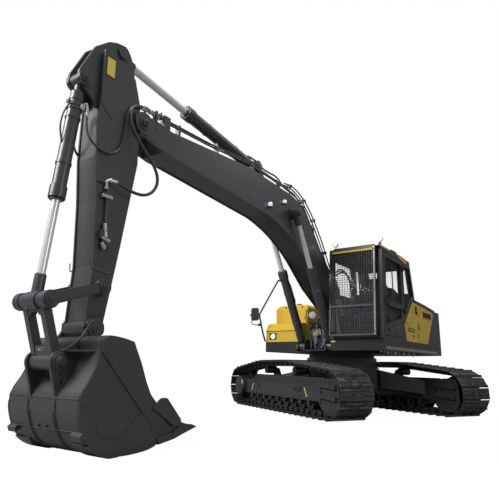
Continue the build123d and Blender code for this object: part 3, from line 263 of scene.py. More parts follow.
# paint: name, colour, roughness, coat, dust; worn_steel: name, dark, bright, roughness
finish = {
    "charcoal": paint("charcoal_enamel", CHARCOAL, 0.36, 0.3, 0.10),
    "black": paint("black_enamel", BLACK, 0.46, 0.05, 0.08),
    "soft_black": paint("soft_black_enamel", (0.036, 0.036, 0.039), 0.38, 0.2, 0.1),
    "yellow": paint("ochre_enamel", YELLOW, 0.46, 0.05, 0.05),
    "grey": paint("grey_enamel", (0.20, 0.20, 0.20), 0.38, 0.3, 0.05),
    "shoe": worn_steel("shoe_steel", (0.030, 0.030, 0.031), (0.150, 0.148, 0.144), 0.30),
    "chrome": chrome("hard_chrome"),
    "zinc": zinc("zinc_plate"),
    "rubber": rubber("hose_rubber"),
    "hose": rubber("braided_hose", (0.040, 0.039, 0.034), 0.42),
    "glass": glazing("window_pane", (0.10, 0.14, 0.15), 0.06),
    "fabric": cloth("seat_cloth", (0.05, 0.052, 0.058)),
    "trim": plastic("cab_trim", (0.016, 0.016, 0.018), 0.6),
    "pale_trim": plastic("pale_cab_trim", (0.34, 0.38, 0.40), 0.5),
    "lamp": lamp_glass("lamp_lens"),
    "guard_wire": paint("wire_enamel", (0.085, 0.086, 0.092), 0.34, 0.3, 0.05),
    "beige": paint("beige_enamel", (0.19, 0.18, 0.155), 0.4, 0.2, 0.05),
    "charcoal_bucket": paint("bucket_enamel", shade(CHARCOAL, 0.9), 0.42, 0.2, 0.10),
    "weld": worn_steel("painted_weld", (0.045, 0.045, 0.05), (0.12, 0.12, 0.125), 0.4),
    "grease_orange": plastic("grease_cap", (0.20, 0.085, 0.03), 0.45),
    "zinc_dark": worn_steel("dark_bolt_steel", (0.02, 0.02, 0.021), (0.07, 0.07, 0.07), 0.4),
    # painted shadow: a near-black finish laid where holes, gaps and louvre openings show only shade
    "painted_shadow": plastic("deep_shadow", (0.003, 0.003, 0.003), 0.9),
    "decal_yellow": paint("decal_yellow", (0.80, 0.62, 0.10), 0.5, 0.0, 0.02),
    "decal_black": paint("decal_black", (0.012, 0.012, 0.02), 0.5, 0.0, 0.02),
    "silver": paint("silver_enamel", (0.30, 0.305, 0.315), 0.34, 0.3, 0.03),
    "iron": worn_steel("cast_iron", (0.03, 0.03, 0.03), (0.07, 0.07, 0.068), 0.6),
}

slots = {
    "painted_dark": "charcoal", "painted_black": "black", "painted_yellow": "yellow", "hood_grey": "black",
    "track_steel": "shoe", "undercarriage_black": "soft_black", "rod_chrome": "chrome",
    "window_glass": "glass", "seat_fabric": "fabric", "cab_plastic": "trim", "lamp_glass": "lamp",
    "engine_iron": "iron",
}
for part in frame["record"]["subparts"]:
    mesh = nodes[part["node"]].data
    mesh.materials.clear()
    mesh.materials.append(finish[slots[part["material_slot"]]])


# ------------------------------------------------------------------ shape tools
def mm(*values):
    """A point from millimetres."""
    return Vector([value * MM for value in values])


def beside(outline, y):
    """An outline of (x, z) rows in mm, stood up at this y in mm."""
    return [mm(x, y, z) for x, z in outline]


def turned_to(direction):
    """The rotation that takes +Z to this direction."""
    return Vector(direction).to_track_quat("Z", "Y").to_matrix()


def ring(centre, turn, radius, sides):
    """Points of a circle about centre, square to the turn's +Z."""
    angles = [2 * math.pi * n / sides for n in range(sides)]
    return [centre + turn @ Vector((radius * math.cos(a), radius * math.sin(a), 0)) for a in angles]


class Form:
    """Closed shapes gathered into one piece."""

    def __init__(self):
        self.mesh = bmesh.new()

    def loft(self, *sections):
        """Skin between sections that have the same number of points, closed at both ends."""
        rows = [[self.mesh.verts.new(point) for point in section] for section in sections]
        for low, high in zip(rows, rows[1:]):
            for n in range(len(low)):
                m = (n + 1) % len(low)
                self.mesh.faces.new((low[n], low[m], high[m], high[n]))
        self.mesh.faces.new(rows[0][::-1])
        self.mesh.faces.new(rows[-1])
        return self

    def prism(self, outline, travel):
        """An outline swept straight along travel."""
        travel = Vector(travel)
        return self.loft(outline, [point + travel for point in outline])

    def slab(self, outline, y_from, y_to):
        """A plate from an outline of (x, z) rows, all in mm."""
        return self.loft(beside(outline, y_from), beside(outline, y_to))

    def block(self, low, high, turn=None, about=None):
        """A block between two corners in metres, turned about a point where one is given."""
        (a, b, c), (d, e, f) = low, high
        base = [Vector(p) for p in ((a, b, c), (d, b, c), (d, e, c), (a, e, c))]
        top = [point + Vector((0, 0, f - c)) for point in base]
        if turn is not None:
            about = Vector(about)
            base, top = ([about + turn @ (point - about) for point in row] for row in (base, top))
        return self.loft(base, top)

    def side_block(self, hand, x_span, y_span, z_span):
        """A block on the side that hand (1 left, -1 right) gives; y_span counts from the middle out."""
        near, far = sorted(hand * y for y in y_span)
        return self.block((x_span[0], near, z_span[0]), (x_span[1], far, z_span[1]))

    def turned(self, place, direction, profile, sides=24):
        """A turned shape: profile rows are (distance along direction, radius), in metres."""
        turn = turned_to(direction)
        place = Vector(place)
        way = turn @ Vector((0, 0, 1))
        return self.loft(*(ring(place + way * along, turn, radius, sides) for along, radius in profile))

    def disc(self, place, direction, radius, thick, sides=24, edge=0.15):
        """A round cap whose outer rim is eased by a share of its thickness."""
        ease = thick * edge
        return self.turned(place, direction, [(0, radius), (thick - ease, radius), (thick, radius - ease)],
                           sides)

    def rod(self, start, end, radius, sides=10):
        """A round bar between two points in metres."""
        start, end = Vector(start), Vector(end)
        return self.turned(start, end - start, [(0, radius), ((end - start).length, radius)], sides)

    def bead(self, points, radius, sides=6):
        """A bead that follows straight runs between points in metres."""
        points = [Vector(point) for point in points]
        sections = []
        for n, point in enumerate(points):
            before = points[max(n - 1, 0)]
            after = points[min(n + 1, len(points) - 1)]
            sections.append(ring(point, turned_to(after - before), radius, sides))
        return self.loft(*sections)

    def make(self, name, finish_name, body=None, bevel=0.0, smooth=True):
        """The finished object, riding on a body where one is given."""
        bmesh.ops.recalc_face_normals(self.mesh, faces=self.mesh.faces)
        mesh = bpy.data.meshes.new(name)
        self.mesh.to_mesh(mesh)
        self.mesh.free()
        return dress(mesh, name, finish_name, body, bevel, smooth)


SHARP_ANGLE, BEVEL_ANGLE = math.radians(32), math.radians(35)


def added(name, data):
    """A new object in the scene."""
    made = bpy.data.objects.new(name, data)
    bpy.context.collection.objects.link(made)
    return made


def evaluated(made):
    """A plain mesh of what an object's modifiers or curve settings make."""
    graph = bpy.context.evaluated_depsgraph_get()
    return bpy.data.meshes.new_from_object(made.evaluated_get(graph))


def dress(mesh, name, finish_name, body, bevel=0.0, smooth=True):
    """An object from a mesh, with its finish, smooth shading and eased edges."""
    mesh.materials.clear()
    mesh.materials.append(finish[finish_name])
    if smooth:
        mesh.shade_smooth()
        mesh.set_sharp_from_angle(angle=SHARP_ANGLE)
    made = added(name, mesh)
    if bevel:
        ease = made.modifiers.new("eased_edges", "BEVEL")
        ease.width = bevel
        ease.segments = 2
        ease.limit_method = "ANGLE"
        ease.angle_limit = BEVEL_ANGLE
    if body:
        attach(made, body)
    return made


def repeat_tree():
    """Nodes that set a piece on every point of a mesh, at the point's own turn and size."""
    group = bpy.data.node_groups.new("repeat_piece", "GeometryNodeTree")
    face = group.interface
    for label, kind, way in (("Points", "Geometry", "INPUT"), ("Piece", "Object", "INPUT"),
                             ("Scale", "Float", "INPUT"), ("Finish", "Material", "INPUT"),
                             ("Geometry", "Geometry", "OUTPUT")):
        face.new_socket(label, in_out=way, socket_type="NodeSocket" + kind)
    node, link = group.nodes.new, group.links.new
    start, end = node("NodeGroupInput"), node("NodeGroupOutput")
    piece, turn, size = (node(kind) for kind in (
        "GeometryNodeObjectInfo", "GeometryNodeInputNamedAttribute", "GeometryNodeInputNamedAttribute"))
    times, spread = node("ShaderNodeVectorMath"), node("GeometryNodeInstanceOnPoints")
    real, coat = node("GeometryNodeRealizeInstances"), node("GeometryNodeSetMaterial")
    for reader, attribute in ((turn, "turn"), (size, "size")):
        reader.data_type = "FLOAT_VECTOR"
        reader.inputs["Name"].default_value = attribute
    times.operation = "SCALE"
    link(start.outputs["Piece"], piece.inputs["Object"])
    link(size.outputs["Attribute"], times.inputs[0])
    link(start.outputs["Scale"], times.inputs["Scale"])
    link(start.outputs["Points"], spread.inputs["Points"])
    link(piece.outputs["Geometry"], spread.inputs["Instance"])
    link(turn.outputs["Attribute"], spread.inputs["Rotation"])
    link(times.outputs["Vector"], spread.inputs["Scale"])
    link(spread.outputs["Instances"], real.inputs["Geometry"])
    link(real.outputs["Geometry"], coat.inputs["Geometry"])
    link(start.outputs["Finish"], coat.inputs["Material"])
    link(coat.outputs["Geometry"], end.inputs["Geometry"])
    return group


REPEAT = repeat_tree()


def repeat(name, piece, places, finish_name, body, scale=1.0):
    """One object with a copy of piece at each place: rows of (point, 3x3 turn, size)."""
    holder_mesh = bpy.data.meshes.new(name + "_points")
    holder_mesh.from_pydata([tuple(point) for point, _, _ in places], [], [])
    rows = {"turn": [tuple(turn.to_euler()) for _, turn, _ in places],
            "size": [(size,) * 3 for _, _, size in places]}
    for label, values in rows.items():
        attribute = holder_mesh.attributes.new(label, "FLOAT_VECTOR", "POINT")
        attribute.data.foreach_set("vector", [part for value in values for part in value])
    holder = added(name + "_points", holder_mesh)
    modifier = holder.modifiers.new("repeat", "NODES")
    modifier.node_group = REPEAT
    values = {"Piece": piece, "Scale": scale, "Finish": finish[finish_name]}
    for item in REPEAT.interface.items_tree:
        if item.item_type == "SOCKET" and item.name in values:
            modifier[item.identifier] = values[item.name]
    mesh = evaluated(holder)
    mesh.name = name
    bpy.data.objects.remove(holder)
    for label in ("turn", "size"):
        if label in mesh.attributes:
            mesh.attributes.remove(mesh.attributes[label])
    return dress(mesh, name, finish_name, body)


def pattern(form):
    """A piece to repeat, built about the origin; it isn't shown itself."""
    made = form.make("pattern", "black")
    bpy.context.collection.objects.unlink(made)
    return made


def hexagon_bolt(radius=0.012, height=0.009):
    """A bolt head on a washer, standing on +Z."""
    form = Form()
    form.turned((0, 0, 0), (0, 0, 1), [(0, radius * 1.35), (height * 0.25, radius * 1.35)], 16)
    form.turned((0, 0, height * 0.2), (0, 0, 1), [(0, radius), (height * 0.7, radius),
                                                  (height * 0.85, radius * 0.84)], 6)
    return pattern(form)


def smooth_path(points, steps=8):
    """Points of a smooth curve through the given ones (a Catmull-Rom spline)."""
    points = [Vector(point) for point in points]
    ends = [points[0] * 2 - points[1], *points, points[-1] * 2 - points[-2]]
    path = []
    for n in range(1, len(ends) - 2):
        a, b, c, d = ends[n - 1:n + 3]
        for step in range(steps):
            t = step / steps
            path.append(0.5 * (2 * b + (c - a) * t + (2 * a - 5 * b + 4 * c - d) * t ** 2
                               + (3 * b - a - 3 * c + d) * t ** 3))
    return path + [points[-1]]


def drawn_curve(name, points, radius, finish_name):
    """The mesh of a round tube on a smooth curve near the points, from the first to the last."""
    curve = bpy.data.curves.new(name, "CURVE")
    curve.dimensions = "3D"
    curve.bevel_depth = radius
    curve.bevel_resolution = 4
    curve.resolution_u = 8
    curve.use_fill_caps = True
    spline = curve.splines.new("NURBS")
    spline.points.add(len(points) - 1)
    for place, point in zip(spline.points, points):
        place.co = (*point, 1)
    spline.order_u = 3
    spline.use_endpoint_u = True
    curve.materials.append(finish[finish_name])
    made = added(name, curve)
    mesh = evaluated(made)
    bpy.data.objects.remove(made)
    return mesh


def tube(name, points, radius, finish_name, body):
    """A rigid pipe or wire, as a mesh on one body."""
    return dress(drawn_curve(name, points, radius, finish_name), name, finish_name, body)


# ------------------------------------------------------------------ crawlers
CRAWLER_TURN = math.radians(58.35)
ALONG = Vector((math.cos(CRAWLER_TURN), math.sin(CRAWLER_TURN), 0))
ACROSS = Vector((-ALONG.y, ALONG.x, 0))
UP = Vector((0, 0, 1))
GAUGE = 2.390
FRAME_HALF = 0.165
SHOE_COUNT = 49
LINK_HEIGHT = 0.082
SPROCKET_X, IDLER_X, AXLE_HEIGHT = -1.850, 1.800, 0.400
ROLLER_COUNT, ROLLER_START, ROLLER_PITCH = 9, -1.330, 0.290
# rows of (along, up, radius): sprocket, two carrier rollers, idler
WHEELS = [(SPROCKET_X, AXLE_HEIGHT, 0.280), (-0.750, 0.742, 0.070), (0.420, 0.742, 0.070),
          (IDLER_X, AXLE_HEIGHT, 0.280)]


def on_crawler(along, across, up):
    """A point in the crawlers' own directions."""
    return ALONG * along + ACROSS * across + UP * up


def on_wall(rows, across, along=0, up=0):
    """Rows of (along, up) on an upright wall, all moved by along and up."""
    return [on_crawler(along + x, across, up + z) for x, z in rows]


def oblong(half_long, half_tall):
    return tuple((x * half_long, z * half_tall) for x, z in ((-1, -1), (1, -1), (1, 1), (-1, 1)))


def belt_line(reach):
    """The loop round the wheels at this reach beyond their treads, clockwise, as (along, up)."""
    cloud = sorted((x + (r + reach) * math.cos(a), z + (r + reach) * math.sin(a))
                   for x, z, r in WHEELS for a in (math.radians(n) for n in range(360)))

    def half(points):
        chain = []
        for p in points:
            while len(chain) > 1 and ((chain[-1][0] - chain[-2][0]) * (p[1] - chain[-2][1])
                                      - (chain[-1][1] - chain[-2][1]) * (p[0] - chain[-2][0])) >= 0:
                chain.pop()
            chain.append(p)
        return chain[:-1]

    return half(cloud) + half(cloud[::-1])


def even_steps(loop, count):
    """Points at equal distances round a closed loop."""
    edges = list(zip(loop, loop[1:] + loop[:1]))
    total = sum(math.dist(a, b) for a, b in edges)
    steps, walked = [], 0
    for a, b in edges:
        run = math.dist(a, b)
        while len(steps) < count and len(steps) * total / count <= walked + run:
            share = (len(steps) * total / count - walked) / run
            steps.append((a[0] + (b[0] - a[0]) * share, a[1] + (b[1] - a[1]) * share))
        walked += run
    return steps


def shoe_form():
    """One track shoe, in its own axes: X along the track, Y across it, Z outward."""
    shoe = Form()
    half, half_wide, ease, notch, slope = 0.091, 0.300, 0.016, 0.046, 0.012
    crest, side_crest, notch_crest = 0.038, 0.024, 0.013

    def section(across, height, middle):
        rows = [(-half, 0), (-half, 0.009)]
        for x, top in ((-0.0684, height * 0.55), (0, max(middle * 0.6, notch_crest)), (0.0684, height)):
            rows += [(x - 0.015, 0.012), (x - 0.006, top), (x + 0.006, top), (x + 0.015, 0.012)]
        return [Vector((x, across, z)) for x, z in rows + [(half, 0.009), (half, 0)]]

    ends = [(half_wide, side_crest, side_crest), (half_wide - ease, crest, crest),
            (notch + slope, crest, crest), (notch, crest, notch_crest)]
    left = [section(-across, height, middle) for across, height, middle in ends]
    right = [section(across, height, middle) for across, height, middle in reversed(ends)]
    shoe.loft(*left, *right)
    for x in (-0.034, 0.034):
        for y in (-0.098, -0.062, 0.062, 0.098):
            shoe.turned((x, y, 0.008), UP, [(0, 0.0125), (0.016, 0.0125), (0.018, 0.010)], 6)
    outer = [(-118, -30), (-118, -58), (-98, -80), (20, -80), (34, -60), (34, -4), (-70, -4), (-96, -14)]
    inner = [(-34, -60), (-20, -80), (98, -80), (118, -58), (118, -30), (96, -14), (70, -4), (-34, -4)]
    for hand in (-1, 1):
        shoe.slab(outer, hand * 80, hand * 98)
        shoe.slab(inner, hand * 62, hand * 80)
        shoe.turned((0.095, hand * 0.062, -0.045), (0, hand, 0), [(0, 0.034), (0.052, 0.034)], 12)
    shoe.turned((0.095, -0.118, -0.045), (0, 1, 0), [(0, 0.018), (0.236, 0.018)], 10)
    return pattern(shoe)


def lay_tracks():
    """A loop of shoes on their link rails round each crawler's wheels."""
    shoe = shoe_form()
    steps = even_steps(belt_line(LINK_HEIGHT), SHOE_COUNT)
    for name, side in (("right", -GAUGE / 2), ("left", GAUGE / 2)):
        places = []
        for (x0, z0), (x1, z1) in zip(steps, steps[1:] + steps[:1]):
            along = (ALONG * (x1 - x0) + UP * (z1 - z0)).normalized()
            turn = Matrix((along, ACROSS, along.cross(ACROSS))).transposed()
            places.append((on_crawler((x0 + x1) / 2, side, (z0 + z1) / 2), turn, 1))
        track = repeat(f"{name}_track_shoes", shoe, places, "shoe", "undercarriage")
        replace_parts(track, f"track_{name}")


def fit_crawlers():
    """Bolts and caps on the side frames, rollers and final drives."""
    places, caps = [], Form()
    for side, outer in ((-GAUGE / 2, -1), (GAUGE / 2, 1)):
        for wall in (-1, 1):
            face = side + wall * FRAME_HALF
            turn = turned_to(ACROSS * wall)
            for n in range(ROLLER_COUNT):
                x = ROLLER_START + ROLLER_PITCH * n
                for dx, z in ((-0.044, 0.245), (0.044, 0.245), (-0.044, 0.285), (0.044, 0.285)):
                    places.append((on_crawler(x + dx, face, z), turn, 1))
                caps.disc(on_crawler(x, face, 0.211), ACROSS * wall, 0.026, 0.012, 16)
            if wall == outer:
                for n in range(4):
                    places.append((on_crawler(1.42 + 0.11 * n, side + wall * 0.1751, 0.43), turn, 1.2))
        out = ACROSS * outer
        turn = turned_to(out)
        for count, radius, reach, size in ((20, 0.211, 0.070, 1.0), (12, 0.150, 0.2665, 0.9)):
            for n in range(count):
                a = 2 * math.pi * n / count
                places.append((on_crawler(SPROCKET_X + radius * math.cos(a), side + outer * reach,
                                          AXLE_HEIGHT + radius * math.sin(a)), turn, size))
        cover = side + outer * 0.274
        caps.disc(on_crawler(SPROCKET_X, cover, AXLE_HEIGHT), out, 0.07, 0.010, 24)
        for a in (0.30, 0.62):
            caps.disc(on_crawler(SPROCKET_X + 0.09 * math.cos(a), cover, AXLE_HEIGHT + 0.09 * math.sin(a)),
                      out, 0.013, 0.012, 6)
        caps.turned(on_crawler(IDLER_X, side + outer * 0.10, AXLE_HEIGHT), out,
                    [(0, 0.088), (0.072, 0.088), (0.078, 0.080), (0.078, 0.055), (0.086, 0.052)], 24)
    repeat("crawler_bolts", hexagon_bolt(), places, "zinc_dark", "undercarriage")
    caps.make("roller_shaft_caps", "soft_black", "undercarriage")


def mark_crawlers():
    """The tie-down marks, cover plates and track adjuster's hole, a disc of painted shade, on the right
    crawler's outer wall.
    """
    plates, marks, hole = Form(), Form(), Form()
    face = -GAUGE / 2 - FRAME_HALF
    for along, up, lean in ((0.909, 0.395, -0.045), (-1.296, 0.390, 0.045)):
        rows = ((-lean - 0.012, -0.075), (-lean + 0.016, -0.075), (lean + 0.016, 0.070),
                (lean - 0.012, 0.070))
        marks.prism(on_wall(rows, face + 0.0005, along, up), -ACROSS * 0.0025)
    for along in (0.55, 0.72, -0.98):
        plates.prism(on_wall(oblong(0.05, 0.035), face + 0.001, along, 0.425), -ACROSS * 0.006)
    # the adjuster's hole as a disc of painted shade
    hole.disc(on_crawler(0.772, face + 0.001, 0.425), -ACROSS, 0.024, 0.003, 20)
    marks.make("crawler_marks", "decal_yellow", "undercarriage")
    plates.make("crawler_plates", "black", "undercarriage", bevel=0.002)
    hole.make("tensioner_hole", "painted_shadow", "undercarriage")


def guard_crawlers():
    """Raised idler guards with two ribs, painted shadow strips under the ribs and behind each pad, and the
    rolled edges of the frames' side walls, raised and lighter as a painted highlight along the border.
    """
    guards, edges, shade_strips = Form(), Form(), Form()
    pad = ((1.430, 0.640), (1.900, 0.610), (1.965, 0.520), (1.975, 0.230), (1.880, 0.130), (1.520, 0.235))
    pad_thick, rib_from, rib_to, fall = 0.020, 1.445, 1.900, 0.035
    for side in (-GAUGE / 2, GAUGE / 2):
        for wall in (-1, 1):
            out = ACROSS * wall
            face = side + wall * 0.1755
            guards.prism(on_wall(pad, face), out * pad_thick)
            for high, low in ((0.565, 0.500), (0.395, 0.330)):
                rib = ((rib_from, high), (rib_to, high - fall), (rib_to, low - fall), (rib_from, low))
                guards.prism(on_wall(rib, face + wall * pad_thick), out * 0.030)
                # painted shadow: a dark strip under each rib
                shade_outline = ((rib_from, low - 0.022), (rib_from, low), (1.905, low - fall), (1.905, low - 0.057))
                shade_strips.prism(on_wall(shade_outline, face + wall * 0.0202), out * 0.002)
            for n in range(4):
                guards.turned(on_crawler(1.47 + 0.125 * n, face + wall * pad_thick, 0.600 - 0.008 * n), out,
                              [(0, 0.013), (0.009, 0.013), (0.011, 0.010)], 6)
            # painted shadow down the gap behind each pad
            shade_outline = ((1.402, 0.240), (1.428, 0.240), (1.428, 0.640), (1.402, 0.640))
            shade_strips.prism(on_wall(shade_outline, face), out * 0.002)
            # the rolled edges are raised and in the lighter charcoal, partly a painted highlight along the
            # frame's border
            edge = side + wall * (FRAME_HALF + 0.0005)
            for z in (0.268, 0.478):
                row = ((-1.440, 0), (1.385, 0), (1.385, 0.012), (-1.440, 0.012))
                edges.prism(on_wall(row, edge, 0, z), out * 0.008)
            row = ((-1.440, 0.268), (-1.426, 0.268), (-1.426, 0.490), (-1.440, 0.490))
            edges.prism(on_wall(row, edge), out * 0.009)
    guards.make("idler_guards", "soft_black", "undercarriage", bevel=0.004)
    edges.make("frame_edges", "charcoal", "undercarriage", bevel=0.002)
    shade_strips.make("guard_gaps", "painted_shadow", "undercarriage", smooth=False)


lay_tracks()
fit_crawlers()
mark_crawlers()
guard_crawlers()


# ------------------------------------------------------------------ bucket, link and rod ends
# pins and outlines in mm, as (x, z)
PINS = {
    "boom_foot": (263, 1872), "boom_ram_foot": (1040, 1170), "boom_ram_eye": (2330, 3350),
    "boom_tip": (5730, 3505), "arm_ram_foot": (3200, 3920), "arm_ram_eye": (6010, 4310),
    "bucket_ram_foot": (6460, 3740), "rocker_pivot": (6110, 1550), "bucket_pivot": (6145, 1140),
    "link_foot": (6490, 820), "link_top": (6675, 1365),
}
BUCKET_HALF = 545
SHEET = 22                  # thickness of the bucket's back sheet
BUCKET_CREST = [(5919, 961), (5949, 1019), (6100, 1052), (6228, 1063), (6280, 1052), (6316, 1010),
                (6316, 945)]
BUCKET_BACK = [(6316, 945), (6350, 800), (6410, 680), (6474, 583), (6501, 517)]
BUCKET_BELLY = [(6501, 517), (6497, 389), (6449, 241), (6377, 131), (6277, 56), (6155, 12), (6017, 2),
                (5865, 3), (5692, 18), (5524, 62), (5343, 92), (5197, 130), (5032, 171)]
BUCKET_MOUTH = [(5266, 245), (5272, 270), (5609, 439), (5697, 528), (5760, 642), (5841, 821), (5919, 961)]
LIP_PLATE = [(6317, 918), (6312, 1024), (6272, 1054), (6228, 1063), (5949, 1019), (5919, 961), (5841, 821),
             (5760, 642), (5697, 528), (5609, 439), (5393, 330), (5582, 148), (5793, 369)]
SIDE_CUTTER = [(5671, 397), (5572, 470), (5549, 484), (5500, 486), (5476, 478), (5274, 270), (5264, 250),
               (5279, 211), (5363, 200)]
CUTTING_EDGE = [(5007, 170), (5197, 123), (5353, 81), (5565, 50), (5585, 105), (5363, 140), (5252, 194),
                (5080, 200)]
WEAR_CURVE = [(6347, 395), (6323, 289), (6275, 211), (6174, 165), (6074, 160), (5961, 213), (5846, 316),
              (5785, 352)]
EAR_TOP = [(6231, 1143), (6280, 1068), (6344, 1006), (6394, 969), (6440, 945), (6490, 921)]
EAR_INNER, EAR_OUTER = 172, 206
RAM_Y = 287                 # the boom cylinders' distance from the middle


def at(pin, y=0):
    """A point on a pin's axis; y in mm."""
    x, z = PINS[pin]
    return mm(x, y, z)


def flat_path(outline, steps=4):
    """A smooth path through (x, z) rows in mm."""
    return [(p.x, p.z) for p in smooth_path([Vector((x, 0, z)) for x, z in outline], steps)]


def inset(path, depth):
    """The path moved to its right-hand side by depth, in the (x, z) plane."""
    moved = []
    for n, (x, z) in enumerate(path):
        before, after = path[max(n - 1, 0)], path[min(n + 1, len(path) - 1)]
        along = Vector((after[0] - before[0], after[1] - before[1])).normalized()
        moved.append((x + along.y * depth, z - along.x * depth))
    return moved


def arc_points(centre, radius, start, end, count=10):
    """Rows of a round stretch about a centre in mm, between two angles in degrees."""
    angles = [math.radians(start + (end - start) * n / count) for n in range(count + 1)]
    return [(centre[0] + radius * math.cos(a), centre[1] + radius * math.sin(a)) for a in angles]


def build_bucket():
    """The curved shell with its side plates, cutters, wear strips, lip and the two ears for the pins."""
    belly = flat_path(BUCKET_BELLY)
    outer = flat_path(BUCKET_CREST, 3)[:-1] + BUCKET_BACK[:-1] + belly
    shell = Form()
    shell.slab(outer + inset(outer, SHEET)[::-1], -BUCKET_HALF + 4, BUCKET_HALF - 4)
    for hand in (-1, 1):
        shell.slab(outer + BUCKET_MOUTH, hand * (BUCKET_HALF - 24), hand * BUCKET_HALF)
        shell.slab(LIP_PLATE, hand * BUCKET_HALF, hand * (BUCKET_HALF + 13))
        shell.slab(SIDE_CUTTER, hand * BUCKET_HALF, hand * (BUCKET_HALF + 32))
        wear = flat_path(WEAR_CURVE)
        rim = [p for p in outer if p[1] < 460 and p[0] > 5600]
        shell.slab([(6484, 452), (6361, 446)] + wear + [(5582, 150), (5560, 70)] + rim[::-1],
                   hand * BUCKET_HALF, hand * (BUCKET_HALF + 9))
    shell.slab(CUTTING_EDGE, -BUCKET_HALF - 22, BUCKET_HALF + 22)
    heel = [p for p in outer if p[0] > 5980 and 2 < p[1] < 150]
    for y_from, y_to in ((-BUCKET_HALF - 14, -330), (330, BUCKET_HALF + 14)):
        shell.slab(heel + inset(heel, -12)[::-1], y_from, y_to)
    for hand in (-1, 1):
        corner = [(6449, 241), (6420, 196), (6462, 170), (6480, 215)]
        shell.slab(corner, hand * 420, hand * (BUCKET_HALF + 10))

    pivot, foot = PINS["bucket_pivot"], PINS["link_foot"]
    ear = (arc_points(pivot, 108, 205, 25, 16) + flat_path(EAR_TOP, 3) + arc_points(foot, 104, 80, -28, 10)
           + [(6562, 700), (6528, 600), (6506, 500), (6486, 392), (6470, 400), (6455, 560), (6390, 690),
              (6330, 820), (6300, 940), (6262, 1020), (6150, 1020)])
    for hand in (-1, 1):
        shell.slab(ear, hand * EAR_INNER, hand * EAR_OUTER)
        for place, radius in ((pivot, 92), (foot, 86)):
            shell.turned(mm(place[0], hand * (EAR_OUTER - 1), place[1]), (0, hand, 0),
                         [(0, radius * MM), (0.007, radius * MM), (0.012, (radius - 5) * MM)], 40)
        shelf = [mm(x, y, 912) for x, y in ((6330, hand * 200), (6455, hand * 200), (6450, hand * 330),
                                            (6330, hand * 470))]
        shell.prism(shelf, (0, 0, 0.016))
    shell.turned(mm(foot[0], -EAR_INNER + 0.5, foot[1]), (0, -1, 0), [(0, 0.062), (0.004, 0.062)], 24)
    made = shell.make("bucket_shell", "charcoal_bucket", "bucket", bevel=0.0035)
    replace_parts(made, "bucket")
    weld_bucket(outer)


def weld_bucket(outer):
    """Weld beads, and drain holes as discs of painted shade, on the bucket."""
    welds = Form()
    back = [p for p in outer if p[0] > 6100 and 60 < p[1] < 760]
    wear = flat_path(WEAR_CURVE, 3)
    for hand in (-1, 1):
        # rows of (y, radius in m, outline)
        for y, radius, line in (
                (EAR_OUTER + 2, 0.007, [(x + 2, z) for x, z in back]),
                (180, 0.006, [(x + 1, z) for x, z in back if z < 400]),
                (BUCKET_HALF + 8, 0.006, [(6484, 456), (6364, 450)]),
                (BUCKET_HALF + 6, 0.008, wear[4:]),
                (BUCKET_HALF + 5, 0.006, [(6317, 915), (6060, 650), (5793, 369), (5582, 150)]),
                (BUCKET_HALF + 10, 0.007, [(5600, 440), (5640, 395), (5363, 208)]),
                (BUCKET_HALF + 14, 0.008, [(5590, 108), (5363, 142), (5252, 196)])):
            welds.bead([mm(x, hand * y, z) for x, z in line], radius)
    for x, z in ((6502, 512), (6449, 238), (6320, 84)):
        welds.bead([mm(x, -BUCKET_HALF + 6, z), mm(x, BUCKET_HALF - 6, z)], 0.0055)
    welds.make("bucket_welds", "weld", "bucket")
    # drain holes: dark discs of painted shade where the holes are
    holes = Form()
    for y in (-60, 60):
        holes.disc(mm(6461, y, 262), (1, 0, -0.35), 0.010, 0.012, 14)
    for x, z in ((6475, 712), (6462, 640)):
        for hand in (-1, 1):
            holes.disc(mm(x, hand * (EAR_OUTER - 0.5), z), (0, hand, 0), 0.011, 0.003, 14)
    holes.make("bucket_drain_holes", "painted_shadow", "bucket")


def pin_end(form, pin, y_from, hand, radius):
    """A collar, a retaining plate and a bolt on a pin's outer end; y_from in mm."""
    place = at(pin, hand * y_from)
    form.turned(place, (0, hand, 0),
                [(0, radius), (0.008, radius), (0.011, radius - 0.006), (0.011, radius * 0.72),
                 (0.024, radius * 0.70), (0.027, radius * 0.62)], 32)
    form.turned(place + Vector((0, hand * 0.026, 0)), (0, hand, 0),
                [(0, radius * 0.30), (0.012, radius * 0.26)], 6)


def dress_pins():
    """Collars and bolts on the pins' outer ends; distances from the middle are in mm."""
    on_arm, on_bucket, on_rocker, on_boom = Form(), Form(), Form(), Form()
    for hand in (-1, 1):
        pin_end(on_bucket, "link_foot", EAR_OUTER + 10, hand, 0.062)
        pin_end(on_boom, "boom_tip", 262, hand, 0.046)
        for form, pin, y in ((on_rocker, "link_top", 283), (on_arm, "rocker_pivot", 284),
                             (on_arm, "bucket_pivot", 232), (on_arm, "bucket_ram_foot", 140)):
            form.turned(at(pin, hand * y), (0, hand, 0), [(0, 0.017), (0.009, 0.015)], 6)
    on_bucket.make("link_pin_ends", "charcoal", "bucket")
    on_boom.make("boom_tip_caps", "charcoal", "boom")
    on_arm.make("arm_pin_bolts", "charcoal", "arm")
    on_rocker.make("rocker_pin_bolts", "charcoal", "rocker")


def grease_points():
    """Small orange-brown caps where grease goes in: rows of (body, shift from the pin, pin)."""
    rows = [("bucket_link", (0.052, 0.035, 0.072), "link_top"),
            ("bucket_link", (-0.02, 0.040, 0.083), "link_foot"),
            ("bucket_rod", (0.06, -0.02, -0.074), "link_top"),
            ("arm", (-0.02, 0.1725, 0.125), "bucket_pivot")]
    for n, (body, shift, pin) in enumerate(rows):
        out = Vector((shift[0], 0, shift[2])).normalized()
        Form().disc(at(pin) + Vector(shift), out, 0.011, 0.014, 10, 0.3).make(
            f"grease_cap_{n}", "grease_orange", body)


